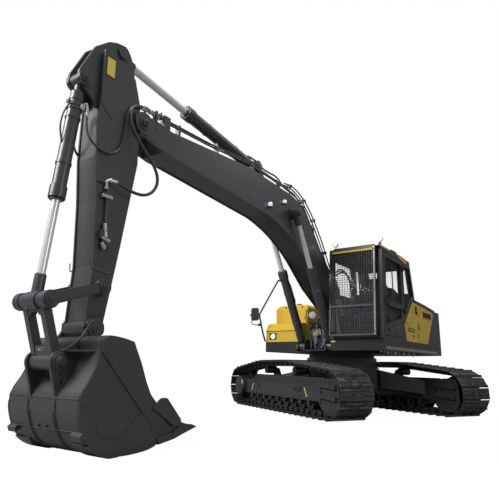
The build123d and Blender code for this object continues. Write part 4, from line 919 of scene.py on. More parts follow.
def link_webs():
    """The cast webs that join the bucket link's two legs at its ends."""
    webs = Form()
    half, leg, thick = 0.070, 0.120, 0.072
    foot, top = at("link_foot"), at("link_top")
    run = (top - foot).normalized()
    out = Vector((run.z, 0, -run.x))
    steps = [math.pi * n / 10 for n in range(11)]
    for base, way, reach in ((foot, run, 0.155), (top, -run, 0.135)):
        rim = [(half * math.cos(a), reach - half * 0.55 * math.sin(a)) for a in steps]
        outline = [(leg, 0.05), (leg, reach)] + rim + [(-leg, reach), (-leg, 0.05)]
        webs.prism([base + Vector((0, 1, 0)) * y + way * s - out * 0.036 for y, s in outline], out * thick)
    webs.make("bucket_link_webs", "charcoal", "bucket_link", bevel=0.006)


def rod_end(form, foot, eye, y, half, eye_radius, rod_radius, neck):
    """The painted eye and neck of a cylinder rod; y and half in mm."""
    start, end = at(foot, y), at(eye, y)
    run = (end - start).normalized()
    form.turned(end - Vector((0, (half + 1.2) * MM, 0)), (0, 1, 0),
                [(0, eye_radius), (2 * (half + 1.2) * MM, eye_radius)], 40)
    neck += 0.03
    form.turned(end - run * neck, run, [(0, rod_radius + 0.004), (0.012, rod_radius + 0.0135),
                                        (neck - eye_radius - 0.004, rod_radius + 0.0145),
                                        (neck - 0.02, rod_radius + 0.017)], 32)


def dress_rods():
    # rows of (body, foot pin, eye pin, sides, half width, eye radius, rod radius, neck)
    rows = [("bucket_rod", "bucket_ram_foot", "link_top", (0,), 98, 0.0875, 0.040, 0.225),
            ("arm_rod", "arm_ram_foot", "arm_ram_eye", (0,), 60, 0.0935, 0.0475, 0.21),
            ("boom_rods", "boom_ram_foot", "boom_ram_eye", (-RAM_Y, RAM_Y), 58, 0.0935, 0.0425, 0.20)]
    for body, foot, eye, sides, half, eye_radius, rod_radius, neck in rows:
        form = Form()
        for y in sides:
            rod_end(form, foot, eye, y, half, eye_radius, rod_radius, neck)
            if body == "boom_rods":
                hand = math.copysign(1, y)
                form.turned(at(eye, y + hand * 57), (0, hand, 0),
                            [(0, 0.0615), (0.054, 0.0615), (0.058, 0.056)], 36)
        form.make(f"{body}_ends", "charcoal", body)


def gland_bolts():
    """Bolts round each cylinder's gland, clamp bands and a sleeve on its barrel."""
    bolt = hexagon_bolt(0.010, 0.012)
    # rows of (body, foot pin, eye pin, sides, barrel radius, bolt circle, node)
    rows = [("bucket_barrel", "bucket_ram_foot", "link_top", (0,), 0.078, 0.058, "bucket_cylinder_barrel"),
            ("arm_barrel", "arm_ram_foot", "arm_ram_eye", (0,), 0.092, 0.070, "arm_cylinder_barrel"),
            ("boom_barrels", "boom_ram_foot", "boom_ram_eye", (-RAM_Y, RAM_Y), 0.081, 0.060,
             "boom_cylinder_barrels")]
    for body, foot, eye, sides, radius, circle, node in rows:
        places, bands = [], Form()
        for y in sides:
            start, end = at(foot, y), at(eye, y)
            run = (end - start).normalized()
            mouth = barrel_length(node, start, run, y)
            turn = turned_to(run)
            for point in ring(start + run * (mouth - 0.018), turn, circle + 0.010, 10):
                places.append((point, turn, 1))
            for share in (0.32, 0.70):
                bands.turned(start + run * (mouth * share), run,
                             [(0, radius - 0.004), (0.004, radius + 0.001), (0.030, radius + 0.001),
                              (0.034, radius - 0.004)], 40)
            bands.turned(start + run * (mouth - 0.150), run,
                         [(0, radius - 0.008), (0.006, radius + 0.006), (0.130, radius + 0.006),
                          (0.134, radius - 0.004)], 40)
        repeat(f"{body}_gland_bolts", bolt, places, "zinc_dark", body)
        bands.make(f"{body}_bands", "charcoal", body)


def barrel_length(node, start, run, y):
    """How far a CAD barrel reaches along its own axis."""
    return max((vertex.co - start).dot(run) for vertex in nodes[node].data.vertices
               if abs(vertex.co.y - y * MM) < 0.12)


build_bucket()
dress_pins()
grease_points()
link_webs()
dress_rods()
gland_bolts()


# ------------------------------------------------------------------ hoses, pipes and fittings
def mirrored(points, hand):
    """Points of the left side, or of the right side where hand is -1."""
    return [(x, y * hand, z) for x, y, z in points]


def centre_line(points, steps=10):
    """The centre of a tube drawn by drawn_curve: quadratic arcs between the midpoints of its legs."""
    points = [Vector(point) for point in points]
    knots = [points[0]] + [(a + b) / 2 for a, b in zip(points[1:], points[2:-1])] + [points[-1]]
    line = []
    for start, bend, end in zip(knots, points[1:-1], knots[1:]):
        for step in range(steps):
            t = step / steps
            line.append(start * (1 - t) ** 2 + bend * (2 * t * (1 - t)) + end * t ** 2)
    return line + [points[-1]]


def hose(name, points, radius, bodies, finish_name="hose"):
    """A hydraulic hose from port to port, riding on its one body; with two bodies it rides on neither."""
    mesh = drawn_curve(name, points, radius, finish_name)
    line = centre_line(points)
    made = dress(mesh, name, finish_name, bodies[0] if len(bodies) == 1 else None)
    if len(bodies) == 2:
        points[0]
        points[-1]
        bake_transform(made)
    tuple(points[0])
    sum((b - a).length for a, b in zip(line, line[1:]))
    [tuple(point) for point in line]


def hose_end(form, point, away, radius):
    """A crimped sleeve and a nut where a hose meets its port; away points out of the port."""
    point, away = Vector(point), Vector(away).normalized()
    for back, sides, profile in ((0.012, 16, [(0, 1.25), (0.055, 1.25), (0.060, 1.05)]),
                                 (0.040, 6, [(0, 1.50), (0.026, 1.50)]),
                                 (0.055, 12, [(0, 0.95), (0.02, 0.95)])):
        form.turned(point - away * back, away, [(reach, radius * share) for reach, share in profile], sides)


# routes on the left side, from port to port
BOOM_TO_ARM = [(5.690, 0.165, 3.742), (5.800, 0.170, 3.725), (5.925, 0.200, 3.610), (5.935, 0.240, 3.400),
               (5.800, 0.270, 3.200), (5.640, 0.290, 3.060), (5.530, 0.297, 2.900), (5.555, 0.295, 2.740),
               (5.690, 0.285, 2.620), (5.870, 0.262, 2.615), (6.000, 0.235, 2.672), (6.090, 0.212, 2.678)]
RAM_TO_ARM = [(6.404, 0.098, 3.360), (6.412, 0.104, 3.240), (6.385, 0.130, 3.090), (6.290, 0.175, 2.985),
              (6.185, 0.194, 2.975)]
ARM_TO_BOOM = [(6.185, 0.194, 2.975), (6.080, 0.198, 2.990), (5.985, 0.197, 3.150), (5.968, 0.197, 3.360),
               (5.955, 0.195, 3.560), (5.860, 0.185, 3.695), (5.700, 0.165, 3.712)]
ARM_ELBOW = [(6.100, 0.212, 2.678), (6.150, 0.200, 2.680), (6.160, 0.192, 2.640), (6.150, 0.191, 2.590)]
RAM_ELBOW = [(6.445, 0.066, 3.440), (6.420, 0.080, 3.475), (6.398, 0.094, 3.440), (6.402, 0.097, 3.360)]
RAM_DRAIN = [(6.562, 0.030, 3.430), (6.590, 0.030, 3.400), (6.640, 0.020, 3.250), (6.640, 0.010, 3.080),
             (6.585, 0.005, 2.940)]
LINE_RADIUS, RAM_HOSE_RADIUS = 0.0175, 0.0125


def front_hoses():
    """Hoses that cross the boom's tip to the arm, with their ports, on both sides."""
    for side, hand in (("left", 1), ("right", -1)):
        hose(f"arm_line_hose_{side}", mirrored(BOOM_TO_ARM, hand), LINE_RADIUS, ("boom", "arm"))
        hose(f"ram_hose_{side}", mirrored(RAM_TO_ARM, hand), RAM_HOSE_RADIUS, ("bucket_barrel", "arm"))
        hose(f"ram_hose_{side}_upper", mirrored(ARM_TO_BOOM, hand), RAM_HOSE_RADIUS, ("arm", "boom"))
        ports = Form()
        hose_end(ports, (5.690, hand * 0.165, 3.742), (1, 0.02 * hand, -0.1), LINE_RADIUS)
        hose_end(ports, (5.700, hand * 0.165, 3.712), (1, 0.12 * hand, -0.1), RAM_HOSE_RADIUS)
        for z, y in ((3.752, 0.158), (3.716, 0.176)):
            ports.rod((5.640, hand * y, z - 0.010), (5.395, hand * y, z + 0.020), 0.012, 12)
            for x in (5.600, 5.545, 5.470):
                ports.turned((x, hand * y, z), (1, 0, -0.1), [(0, 0.021), (0.024, 0.021)], 6)
        ports.make(f"boom_tip_ports_{side}", "zinc", "boom")
        stand = Form()
        stand.side_block(hand, (5.505, 5.530), (0.135, 0.200), (3.615, 3.775))
        stand.side_block(hand, (5.430, 5.450), (0.140, 0.196), (3.700, 3.790))
        stand.make(f"boom_tip_stand_{side}", "charcoal", "boom", bevel=0.002)
        tube(f"arm_elbow_{side}", mirrored(ARM_ELBOW, hand), 0.0155, "zinc", "arm")
        cups = Form()
        hose_end(cups, (6.090, hand * 0.212, 2.678), (-1, 0.25 * hand, 0), 0.0165)
        cups.turned((6.151, hand * 0.191, 2.600), (0, 0, -1), [(0, 0.022), (0.026, 0.022)], 6)
        cups.make(f"arm_elbow_nuts_{side}", "zinc", "arm")
        tube(f"ram_elbow_{side}", mirrored(RAM_ELBOW, hand), 0.013, "zinc", "bucket_barrel")
        block = Form()
        hose_end(block, (6.404, hand * 0.098, 3.360), (0.05, 0, -1), RAM_HOSE_RADIUS)
        block.side_block(hand, (6.425, 6.475), (0.045, 0.085), (3.385, 3.445))
        block.make(f"ram_port_{side}", "zinc", "bucket_barrel", bevel=0.003)
        couplers(side, hand)
    tube("ram_drain_hose", RAM_DRAIN, 0.009, "hose", "bucket_barrel")
    band = Form()
    start, end = at("bucket_ram_foot"), at("link_top")
    run = (end - start).normalized()
    for reach, grow in ((0.235, 0.004), (0.30, 0.003), (0.345, 0.006)):
        band.turned(start + run * reach, run, [(0, 0.074 + grow), (0.022, 0.074 + grow)], 40)
    band.block((6.535, -0.022, 3.435), (6.585, 0.022, 3.470))
    band.make("ram_clamp_bands", "charcoal", "bucket_barrel", bevel=0.002)


def couplers(side, hand):
    """The silver quick couplers, their tee and the clamp plate on the arm's side pipe."""
    y = hand * 0.204
    form = Form()
    for high, low, radius, sides in ((2.205, 2.150, 0.020, 16), (2.150, 2.118, 0.026, 6),
                                     (2.118, 2.080, 0.022, 16), (2.080, 2.048, 0.028, 6)):
        form.turned((6.140 + (high - 2.205) * 0.15, y, high), (-0.15, 0, -1),
                    [(0, radius), (high - low, radius)], sides)
    for x, z, way, profile, sides in (
            (6.118, 2.040, (-1, 0, -0.2), [(0, 0.020), (0.052, 0.020), (0.055, 0.014)], 12),
            (6.118, 2.040, (1, 0, 0.3), [(0, 0.016), (0.048, 0.016)], 6),
            (6.160, 2.000, (-0.6, 0, -0.8), [(0, 0.020), (0.07, 0.020), (0.075, 0.015)], 12),
            (6.135, 1.965, (-0.6, 0, -0.8), [(0, 0.026), (0.022, 0.026)], 6)):
        form.turned((x, y, z), way, profile, sides)
    form.side_block(hand, (6.075, 6.205), (0.186, 0.219), (2.478, 2.512))
    form.make(f"arm_couplers_{side}", "zinc", "arm", bevel=0.001)


def boom_hoses():
    """Hoses from the deck to the boom's pipes, and from the pipes to the arm cylinder."""
    ram_route = [(2.560, 0.152, 3.814), (2.700, 0.150, 3.900), (2.900, 0.130, 3.905),
                 (3.080, 0.120, 3.905), (3.250, 0.112, 3.990), (3.420, 0.075, 4.010)]
    for side, hand in (("left", 1), ("right", -1)):
        for n, (y, rise) in enumerate(((0.152, 0.112), (0.184, 0.058))):
            reach = rise * 0.75
            route = [(-0.12 - 0.05 * n, hand * (y - 0.07), 1.470),
                     (-0.20 - 0.05 * n, hand * (y - 0.06), 1.78),
                     (-0.34 - 0.04 * n, hand * (y - 0.03), 2.18), (-0.20, hand * y, 2.62 - 0.04 * n),
                     (0.22, hand * y, 2.78 - 0.06 * n), (0.56, hand * y, 2.50 + reach),
                     (0.762 - reach * 0.3, hand * y, 2.470 + rise)]
            hose(f"boom_foot_hose_{side}_{n}", route, 0.0165, ("upper", "boom"))
        hose(f"arm_ram_hose_{side}", mirrored(ram_route, hand), 0.014, ("boom", "arm_barrel"))
        ports = Form()
        hose_end(ports, (3.420, hand * 0.075, 4.010), (-1, 0.2 * hand, 0.1), 0.014)
        ports.make(f"arm_ram_port_{side}", "zinc", "arm_barrel")


front_hoses()
boom_hoses()


# ------------------------------------------------------------------ cab
CAB_RIGHT, CAB_LEFT, CAB_ROOF, DECK_TOP = 0.380, 1.350, 2.870, 1.290
SIDE = 1.350                # the upper's left and right faces, and the cab's left one
SEAT_Y = (CAB_RIGHT + CAB_LEFT) / 2
GUARD_LEAN = math.atan2(0.125, CAB_ROOF - DECK_TOP)
GUARD_RIGHT, GUARD_LEFT, GUARD_HEIGHT, GUARD_TUBE = 0.412, 1.266, 1.555, 0.036
WIRES_UPRIGHT, WIRES_LEVEL, WIRE_RADIUS = 17, 35, 0.0048


def on_guard(y, up, out=0.0):
    """A point of the front guard: y, height up its lean, distance out of its plane."""
    s, c = math.sin(GUARD_LEAN), math.cos(GUARD_LEAN)
    return Vector((1.395 - up * s + out * c, y, 1.330 + up * c + out * s))


def guard_bar(form, y_from, y_to, up_from, up_to, low, high):
    """A bar in the guard's plane, from low to high out of it."""
    corners = ((y_from, up_from), (y_to, up_from), (y_to, up_to), (y_from, up_to))
    form.loft([on_guard(y, up, low) for y, up in corners], [on_guard(y, up, high) for y, up in corners])


def build_guard():
    """The bar frame, its welded wire mesh, a silver strip painted as a highlight down the left bar, its
    stripe and the brow over it.
    """
    bars, tube_half = Form(), GUARD_TUBE / 2
    for y in (GUARD_RIGHT, GUARD_LEFT - GUARD_TUBE):
        guard_bar(bars, y, y + GUARD_TUBE, 0, GUARD_HEIGHT, -tube_half, tube_half)
    for up, tall in ((0, GUARD_TUBE), (GUARD_HEIGHT - GUARD_TUBE, GUARD_TUBE), (0.498, 0.024)):
        guard_bar(bars, GUARD_RIGHT + 0.03, GUARD_LEFT - 0.03, up, up + tall, -tube_half + 0.001,
                  tube_half - 0.001)
    for y in (GUARD_RIGHT + 0.005, GUARD_LEFT - 0.035):
        for up in (0.030, 0.730, GUARD_HEIGHT - 0.090):
            guard_bar(bars, y, y + 0.030, up, up + 0.060, -0.092, -tube_half)
            bars.turned(on_guard(y + 0.015, up + 0.03, tube_half), on_guard(0, 0, 1) - on_guard(0, 0),
                        [(0, 0.012), (0.007, 0.012), (0.009, 0.009)], 6)
    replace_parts(bars.make("guard_frame", "soft_black", "upper", bevel=0.005), "front_guard")
    # painted highlight: a thin silver strip on the front of the left bar
    edge = Form()
    guard_bar(edge, GUARD_LEFT - GUARD_TUBE + 0.003, GUARD_LEFT - 0.003, 0.01, GUARD_HEIGHT - 0.01,
              tube_half, tube_half + 0.0015)
    edge.make("guard_bright_edge", "silver", "upper")
    wires, half_step = Form(), 0.0045
    low, high = GUARD_RIGHT + 0.02, GUARD_LEFT - 0.02
    for n in range(1, WIRES_UPRIGHT + 1):
        y = low + (high - low) * n / (WIRES_UPRIGHT + 1)
        wires.rod(on_guard(y, 0.02, half_step), on_guard(y, GUARD_HEIGHT - 0.02, half_step), WIRE_RADIUS, 6)
    for n in range(1, WIRES_LEVEL + 1):
        up = GUARD_TUBE + (GUARD_HEIGHT - 2 * GUARD_TUBE) * n / (WIRES_LEVEL + 1)
        wires.rod(on_guard(low, up, -half_step), on_guard(high, up, -half_step), WIRE_RADIUS, 6)
    wires.make("guard_wires", "guard_wire", "upper")
    stripe = Form()
    guard_bar(stripe, 0.462, GUARD_LEFT - 0.040, GUARD_HEIGHT - 0.078, GUARD_HEIGHT - 0.040, 0.010, 0.015)
    stripe.make("guard_stripe", "yellow", "upper", bevel=0.001)
    brow = Form()
    brow.block((1.145, CAB_RIGHT + 0.03, CAB_ROOF), (1.262, CAB_LEFT - 0.02, CAB_ROOF + 0.016))
    brow.block((1.120, CAB_RIGHT + 0.06, CAB_ROOF + 0.010), (1.185, CAB_LEFT - 0.05, CAB_ROOF + 0.060))
    brow.make("roof_brow", "soft_black", "upper", bevel=0.008)


def roof_lamps():
    """Round lamps on stalks, wired at the back, and a small marker lamp on the cab's front corner."""
    shells, lenses, rims = Form(), Form(), Form()
    foot, ahead = CAB_ROOF + 0.0755, (1, 0, 0)
    for side, y, inward in (("right", 0.430, 1), ("left", 1.292, -1)):
        centre = Vector((1.050, y, foot + 0.090))
        shells.block((1.032, min(y - 0.010, y + inward * 0.075), foot),
                     (1.068, max(y + 0.010, y + inward * 0.075), foot + 0.008))
        shells.turned((1.050, y, foot), (0, 0, 1), [(0, 0.012), (0.045, 0.010)], 14)
        shells.turned(centre - Vector((0.030, 0, 0)), ahead,
                      [(0, 0.024), (0.012, 0.038), (0.045, 0.049), (0.060, 0.050)], 32)
        rims.turned(centre + Vector((0.028, 0, 0)), ahead,
                    [(0, 0.0505), (0.008, 0.0515), (0.011, 0.0495), (0.011, 0.046)], 40)
        lenses.turned(centre + Vector((0.034, 0, 0)), ahead,
                      [(0, 0.0475), (0.006, 0.0470), (0.009, 0.040), (0.011, 0.020)], 40)
        tube(f"roof_lamp_wire_{side}",
             [(1.022, y, foot + 0.085), (0.985, y + inward * 0.02, foot + 0.07),
              (0.980, y + inward * 0.05, foot + 0.010), (1.000, y + inward * 0.07, foot - 0.02)],
             0.004, "hose", "upper")
    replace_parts(lenses.make("roof_lamp_lenses", "lamp", "upper"), "cab_lamps")
    shells.make("roof_lamp_shells", "soft_black", "upper", bevel=0.002)
    rims.make("roof_lamp_rims", "charcoal", "upper")
    Form().disc((1.262, 1.296, 2.905), (1, 0, 0.1), 0.030, 0.022, 24, 0.3).make(
        "marker_lamp", "lamp", "upper")
    Form().block((1.215, 1.262, 2.872), (1.262, 1.330, 2.935)).make(
        "marker_lamp_bracket", "soft_black", "upper", bevel=0.004)


def window_trims():
    """Posts and trims inside the right-hand and rear windows."""
    trims = Form()
    # on the right-hand wall, as (x, z) in mm
    for outline in ([(170, 1940), (345, 1940), (462, 2770), (170, 2770)],
                    [(-450, 2120), (-10, 1940), (60, 2770), (-300, 2770)],
                    [(-100, 1940), (1165, 1940), (1140, 2105), (-100, 2105)],
                    [(-20, 2090), (200, 2090), (200, 2215), (-20, 2215)],
                    [(-100, 2680), (1110, 2680), (1100, 2775), (-100, 2775)]):
        trims.slab(outline, 435, 446)
    # on the rear wall: rows of (y from, y to, lower edge)
    for y_from, y_to, z in ((0.972, 0.990, 2.19), (1.075, 1.150, 2.08), (0.660, 0.845, 2.19)):
        trims.block((-0.425, y_from, z), (-0.412, y_to, 2.73))
    sill = ((0.40, 2.08), (1.30, 2.08), (1.30, 2.245), (1.075, 2.262), (0.990, 2.372), (0.830, 2.415),
            (0.660, 2.590), (0.400, 2.555))
    trims.prism([Vector((-0.427, y, z)) for y, z in sill], (0.012, 0, 0))
    trims.make("window_trims", "soft_black", "upper", bevel=0.003)


def gasket(name, outline, body, wide=0.009):
    """A rubber bead round a window on the left side; outline rows are (x, z) in mm."""
    points = [mm(x, 1348, z) for x, z in outline]
    form = Form()
    for start, end in zip(points, points[1:] + points[:1]):
        form.rod(start, end, wide, 8)
    for point in points:
        form.turned(point - Vector((0, wide, 0)), (0, 1, 0), [(0, wide), (2 * wide, wide)], 10)
    form.make(name, "rubber", body)


def dress_door():
    """Gaskets, handle and lock, the raised line across the cab door and the bar of its sliding pane."""
    gasket("door_low_gasket", [(1100, 1545), (1085, 1862), (290, 1858), (290, 1692)], "cab_door")
    gasket("door_high_gasket", [(1095, 1968), (1020, 2712), (225, 2712), (225, 1950)], "cab_door")
    gasket("quarter_gasket",
           [(75, 2710), (-325, 2710), (-465, 2190), (-300, 2130), (20, 1880), (75, 1880)], "upper")
    handle, out = Form(), (0, 1, 0)
    handle.disc((0.981, SIDE, 1.452), out, 0.036, 0.010, 28)
    handle.disc((0.981, SIDE + 0.008, 1.452), out, 0.022, 0.014, 24)
    handle.disc((0.630, SIDE, 1.402), out, 0.013, 0.008, 18)
    handle.block((1.090, SIDE, 1.905), (1.130, SIDE + 0.014, 1.945))
    handle.block((0.985, SIDE + 0.010, 1.908), (1.128, SIDE + 0.026, 1.932))
    handle.make("door_handle", "soft_black", "cab_door", bevel=0.003)
    Form().bead([(1.150, SIDE, 1.395), (0.611, SIDE, 1.510), (0.240, SIDE, 1.578)], 0.005, 8).make(
        "door_crease", "charcoal", "cab_door")
    Form().block((0.625, SIDE - 0.034, 1.955), (0.640, SIDE - 0.022, 2.710)).make(
        "door_pane_bar", "soft_black", "cab_door")


def wiper():
    """The wiper on its pivot, behind the guard."""
    form = Form()
    form.turned((1.235, 0.560, 1.985), (1, 0, 0.08), [(0, 0.018), (0.025, 0.018), (0.030, 0.012)], 16)
    form.bead([(1.262, 0.560, 1.985), (1.240, 0.470, 2.260), (1.222, 0.435, 2.520)], 0.006, 6)
    form.bead([(1.256, 0.452, 2.100), (1.228, 0.430, 2.560)], 0.008, 6)
    form.make("wiper", "black", "upper")


def controls():
    """The pale pod and boots at the front right of the cab, and the small blank sign below the guard."""
    pod = Form()
    pod.block((1.050, 0.345, 1.885), (1.160, 0.520, 2.020))
    pod.block((1.060, 0.425, 1.845), (1.130, 0.510, 1.895))
    pod.make("control_pod", "pale_trim", "upper", bevel=0.022)
    boot = Form()
    # rows of (x, y, z, radius) down each boot
    for lean, sides, rows in (
            (0.1, 20, [(1.105, 0.440, 1.860, 0.030), (1.105, 0.425, 1.720, 0.024),
                       (1.105, 0.430, 1.580, 0.034), (1.105, 0.445, 1.460, 0.046),
                       (1.105, 0.458, 1.390, 0.040)]),
            (0.3, 16, [(1.095, 0.500, 1.850, 0.022), (1.095, 0.535, 1.790, 0.022),
                       (1.095, 0.548, 1.700, 0.018)])):
        turn = turned_to((0, lean, -1))
        boot.loft(*(ring(Vector((x, y, z)), turn, radius, sides) for x, y, z, radius in rows))
    boot.make("control_boot", "pale_trim", "upper")
    Form().block((1.276, 0.388, 1.232), (1.2805, 0.470, 1.262)).make("deck_sign", "decal_yellow", "upper")


PAD_VOXEL, PAD_PRESSURE, PAD_FRAMES = 0.010, 4.0, 20


def puffed(form, reach):
    """A closed shape blown up by a short cloth run, no point of it further than reach."""
    bmesh.ops.recalc_face_normals(form.mesh, faces=form.mesh.faces)
    rough = bpy.data.meshes.new("pad_rough")
    form.mesh.to_mesh(rough)
    form.mesh.free()
    holder = added("pad_rough", rough)
    remesh = holder.modifiers.new("even_mesh", "REMESH")
    remesh.mode = "VOXEL"
    remesh.voxel_size = PAD_VOXEL
    even = evaluated(holder)
    holder.modifiers.clear()
    holder.data = even
    settings = holder.modifiers.new("filling", "CLOTH").settings
    settings.quality = 5
    settings.mass = 0.3
    settings.tension_stiffness = 30
    settings.compression_stiffness = 30
    settings.bending_stiffness = 2
    settings.use_pressure = True
    settings.uniform_pressure_force = PAD_PRESSURE
    settings.effector_weights.gravity = 0
    for step in range(1, PAD_FRAMES + 1):
        bpy.context.scene.frame_set(step)
    blown = evaluated(holder)
    for before, after in zip(even.vertices, blown.vertices):
        move = after.co - before.co
        if move.length > reach:
            after.co = before.co + move.normalized() * reach
    bpy.data.objects.remove(holder)
    bpy.context.scene.frame_set(1)
    return blown


def eased(mesh, name):
    """One round of subdivision on a pad."""
    made = dress(mesh, name, "fabric", "upper")
    ease = made.modifiers.new("eased", "SUBSURF")
    ease.levels = ease.render_levels = 1
    return made


def seam(name, pad, points):
    """Piping laid on a pad along the points nearest to its skin."""
    laid, radius = [], 0.0035
    for point in smooth_path(points, 6):
        _, near, normal, _ = pad.closest_point_on_mesh(point)
        laid.append(near + normal * radius * 0.3)
    Form().bead(laid, radius, 8).make(name, "trim", "upper")


def wedge(outline, half, waist):
    """A pad's blank: an outline of (x, z) rows in mm, its sides drawn in at the ends by waist."""
    centre = Vector((sum(x for x, _ in outline), 0, sum(z for _, z in outline))) / len(outline)
    middle = mm(centre.x, 0, centre.z)

    def section(y, size):
        return [middle + (point - middle) * size + Vector((0, y, 0)) for point in beside(outline, 0)]

    return Form().loft(section(SEAT_Y - half, 1 - waist), section(SEAT_Y - half * 0.86, 1),
                       section(SEAT_Y + half * 0.86, 1), section(SEAT_Y + half, 1 - waist))


def build_seat():
    """A sprung seat: cushion, back and headrest in cloth over a dark shell."""
    # rows of (name, half width, waist, reach, outline)
    rows = (("seat_cushion", 0.236, 0.12, 0.014,
             [(315, 1668), (318, 1752), (560, 1756), (740, 1782), (782, 1752), (785, 1700), (760, 1664)]),
            ("seat_back", 0.226, 0.14, 0.012,
             [(256, 1792), (332, 1772), (352, 1880), (322, 2040), (300, 2200), (272, 2380), (218, 2392),
              (206, 2340), (226, 2000)]),
            ("seat_headrest", 0.150, 0.15, 0.008,
             [(196, 2408), (262, 2404), (266, 2440), (256, 2486), (212, 2490), (196, 2450)]))
    pads = [eased(puffed(wedge(outline, half, waist), reach), name)
            for name, half, waist, reach, outline in rows]
    cushion, back, _ = pads
    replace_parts(cushion, "seat")
    left, right = SEAT_Y + 0.150, SEAT_Y - 0.150
    for side, y in (("right", right), ("left", left)):
        seam(f"cushion_seam_{side}", cushion,
             [(0.36, y, 1.80), (0.55, y, 1.80), (0.74, y, 1.83), (0.80, y, 1.74)])
        seam(f"back_seam_{side}", back, [(0.38, y, 1.83), (0.37, y, 1.95), (0.34, y, 2.15), (0.29, y, 2.39)])
    seam("cushion_seam_cross", cushion, [(0.56, right, 1.80), (0.555, SEAT_Y, 1.80), (0.56, left, 1.80)])
    seam("back_seam_cross", back, [(0.35, right, 2.10), (0.35, SEAT_Y, 2.095), (0.35, left, 2.10)])
    shell = Form()
    for outline, half in (([(300, 1640), (300, 1668), (790, 1668), (800, 1652), (790, 1640)], 236),
                          ([(212, 1700), (254, 1700), (232, 2000), (208, 2330), (186, 2330), (200, 2000)],
                           215)):
        shell.slab(outline, SEAT_Y * 1000 - half, SEAT_Y * 1000 + half)
    shell.block((0.215, SEAT_Y - 0.19, 1.645), (0.330, SEAT_Y + 0.19, 1.700))
    for hand in (-1, 1):
        shell.rod((0.228, SEAT_Y + hand * 0.05, 2.32), (0.226, SEAT_Y + hand * 0.05, 2.43), 0.007, 12)
    shell.make("seat_shell", "trim", "upper", bevel=0.006)


build_guard()
roof_lamps()
window_trims()
dress_door()
wiper()
controls()
build_seat()


# ------------------------------------------------------------------ deck, doors and boom fittings
def plate(form, outline, y, thick=0.002):
    """A thin plate on a face square to Y; outline rows are (x, z) in mm."""
    form.prism(beside(outline, y), (0, math.copysign(thick, y), 0))


def grown(outline, by):
    """An outline grown about its middle by this much in mm."""
    x0 = sum(x for x, _ in outline) / len(outline)
    z0 = sum(z for _, z in outline) / len(outline)
    return [(x + by * math.copysign(1, x - x0), z + by * math.copysign(1, z - z0)) for x, z in outline]


def decal(name, outline, y, body, inner="decal_yellow", border=12):
    """A blank sign with a dark border."""
    edge, face = Form(), Form()
    plate(edge, outline, y)
    edge.make(name + "_border", "decal_black", body, smooth=False)
    plate(face, grown(outline, -border), y + math.copysign(2, y))
    face.make(name, inner, body, smooth=False)


def front_marks():
    """The arm's blank sign, and weld seams and stops on the arm and boom."""
    decal("arm_sign_left", [(6275, 4106), (6142, 4107), (6140, 3868), (6271, 3872)], 165.5, "arm")
    # rows of (piece, finish, body, distance from the middle, beads as radius and (x, z) points)
    rows = (("boom_seam", "weld", "boom", 0.2005,
             ((0.006, ((3.286, 3.625), (3.522, 3.189))), (0.005, ((5.527, 3.511), (5.525, 3.600))))),
            ("arm_seams", "weld", "arm", 0.1655,
             ((0.005, ((6.212, 1.256), (6.048, 1.284))),
              (0.006, ((6.286, 3.527), (6.210, 3.450), (6.134, 3.390))))),
            ("arm_stop_bars", "charcoal", "arm", 0.168,
             ((0.007, ((6.243, 1.808), (6.235, 1.732), (5.996, 1.707))),)))
    for hand, side in ((1, "left"), (-1, "right")):
        for piece, finish_name, body, y, beads in rows:
            form = Form()
            for radius, points in beads:
                form.bead([(x, hand * y, z) for x, z in points], radius, 8)
            form.make(f"{piece}_{side}", finish_name, body)


def boom_lamps():
    """Dark lamp cases with white lenses and wires, on the boom's sides."""
    lenses, cases = Form(), Form()
    for side, hand in (("right", -1), ("left", 1)):
        for x, z, reach in ((3.024, 3.312, 0.075), (2.578, 3.486, 0.055)):
            for back, inner, outer, share in ((0.030, 0.2005, 0.214, 0.5), (0.034, 0.213, 0.246, 0.8)):
                cases.side_block(hand, (x - back, x + 0.012), (inner, outer),
                                 (z - reach * share, z + reach * share))
            lenses.turned((x + 0.006, hand * 0.229, z), (1, 0, -0.1),
                          [(0, 0.016 + reach * 0.28), (0.016, 0.015 + reach * 0.26), (0.026, 0.012)], 24)
            lenses.side_block(hand, (x - 0.022, x + 0.016), (0.245, 0.2495),
                              (z - reach * 0.42, z + reach * 0.42))
            tube(f"boom_lamp_wire_{round(x * 1000)}_{side}",
                 [(x - 0.030, hand * 0.215, z), (x - 0.10, hand * 0.208, z - 0.04),
                  (x - 0.18, hand * 0.207, z + 0.02), (x - 0.26, hand * 0.207, z + 0.02)],
                 0.004, "hose", "boom")
    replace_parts(lenses.make("boom_lamp_lenses", "lamp", "boom"), "boom_lamps")
    cases.make("boom_lamp_cases", "soft_black", "boom", bevel=0.005)


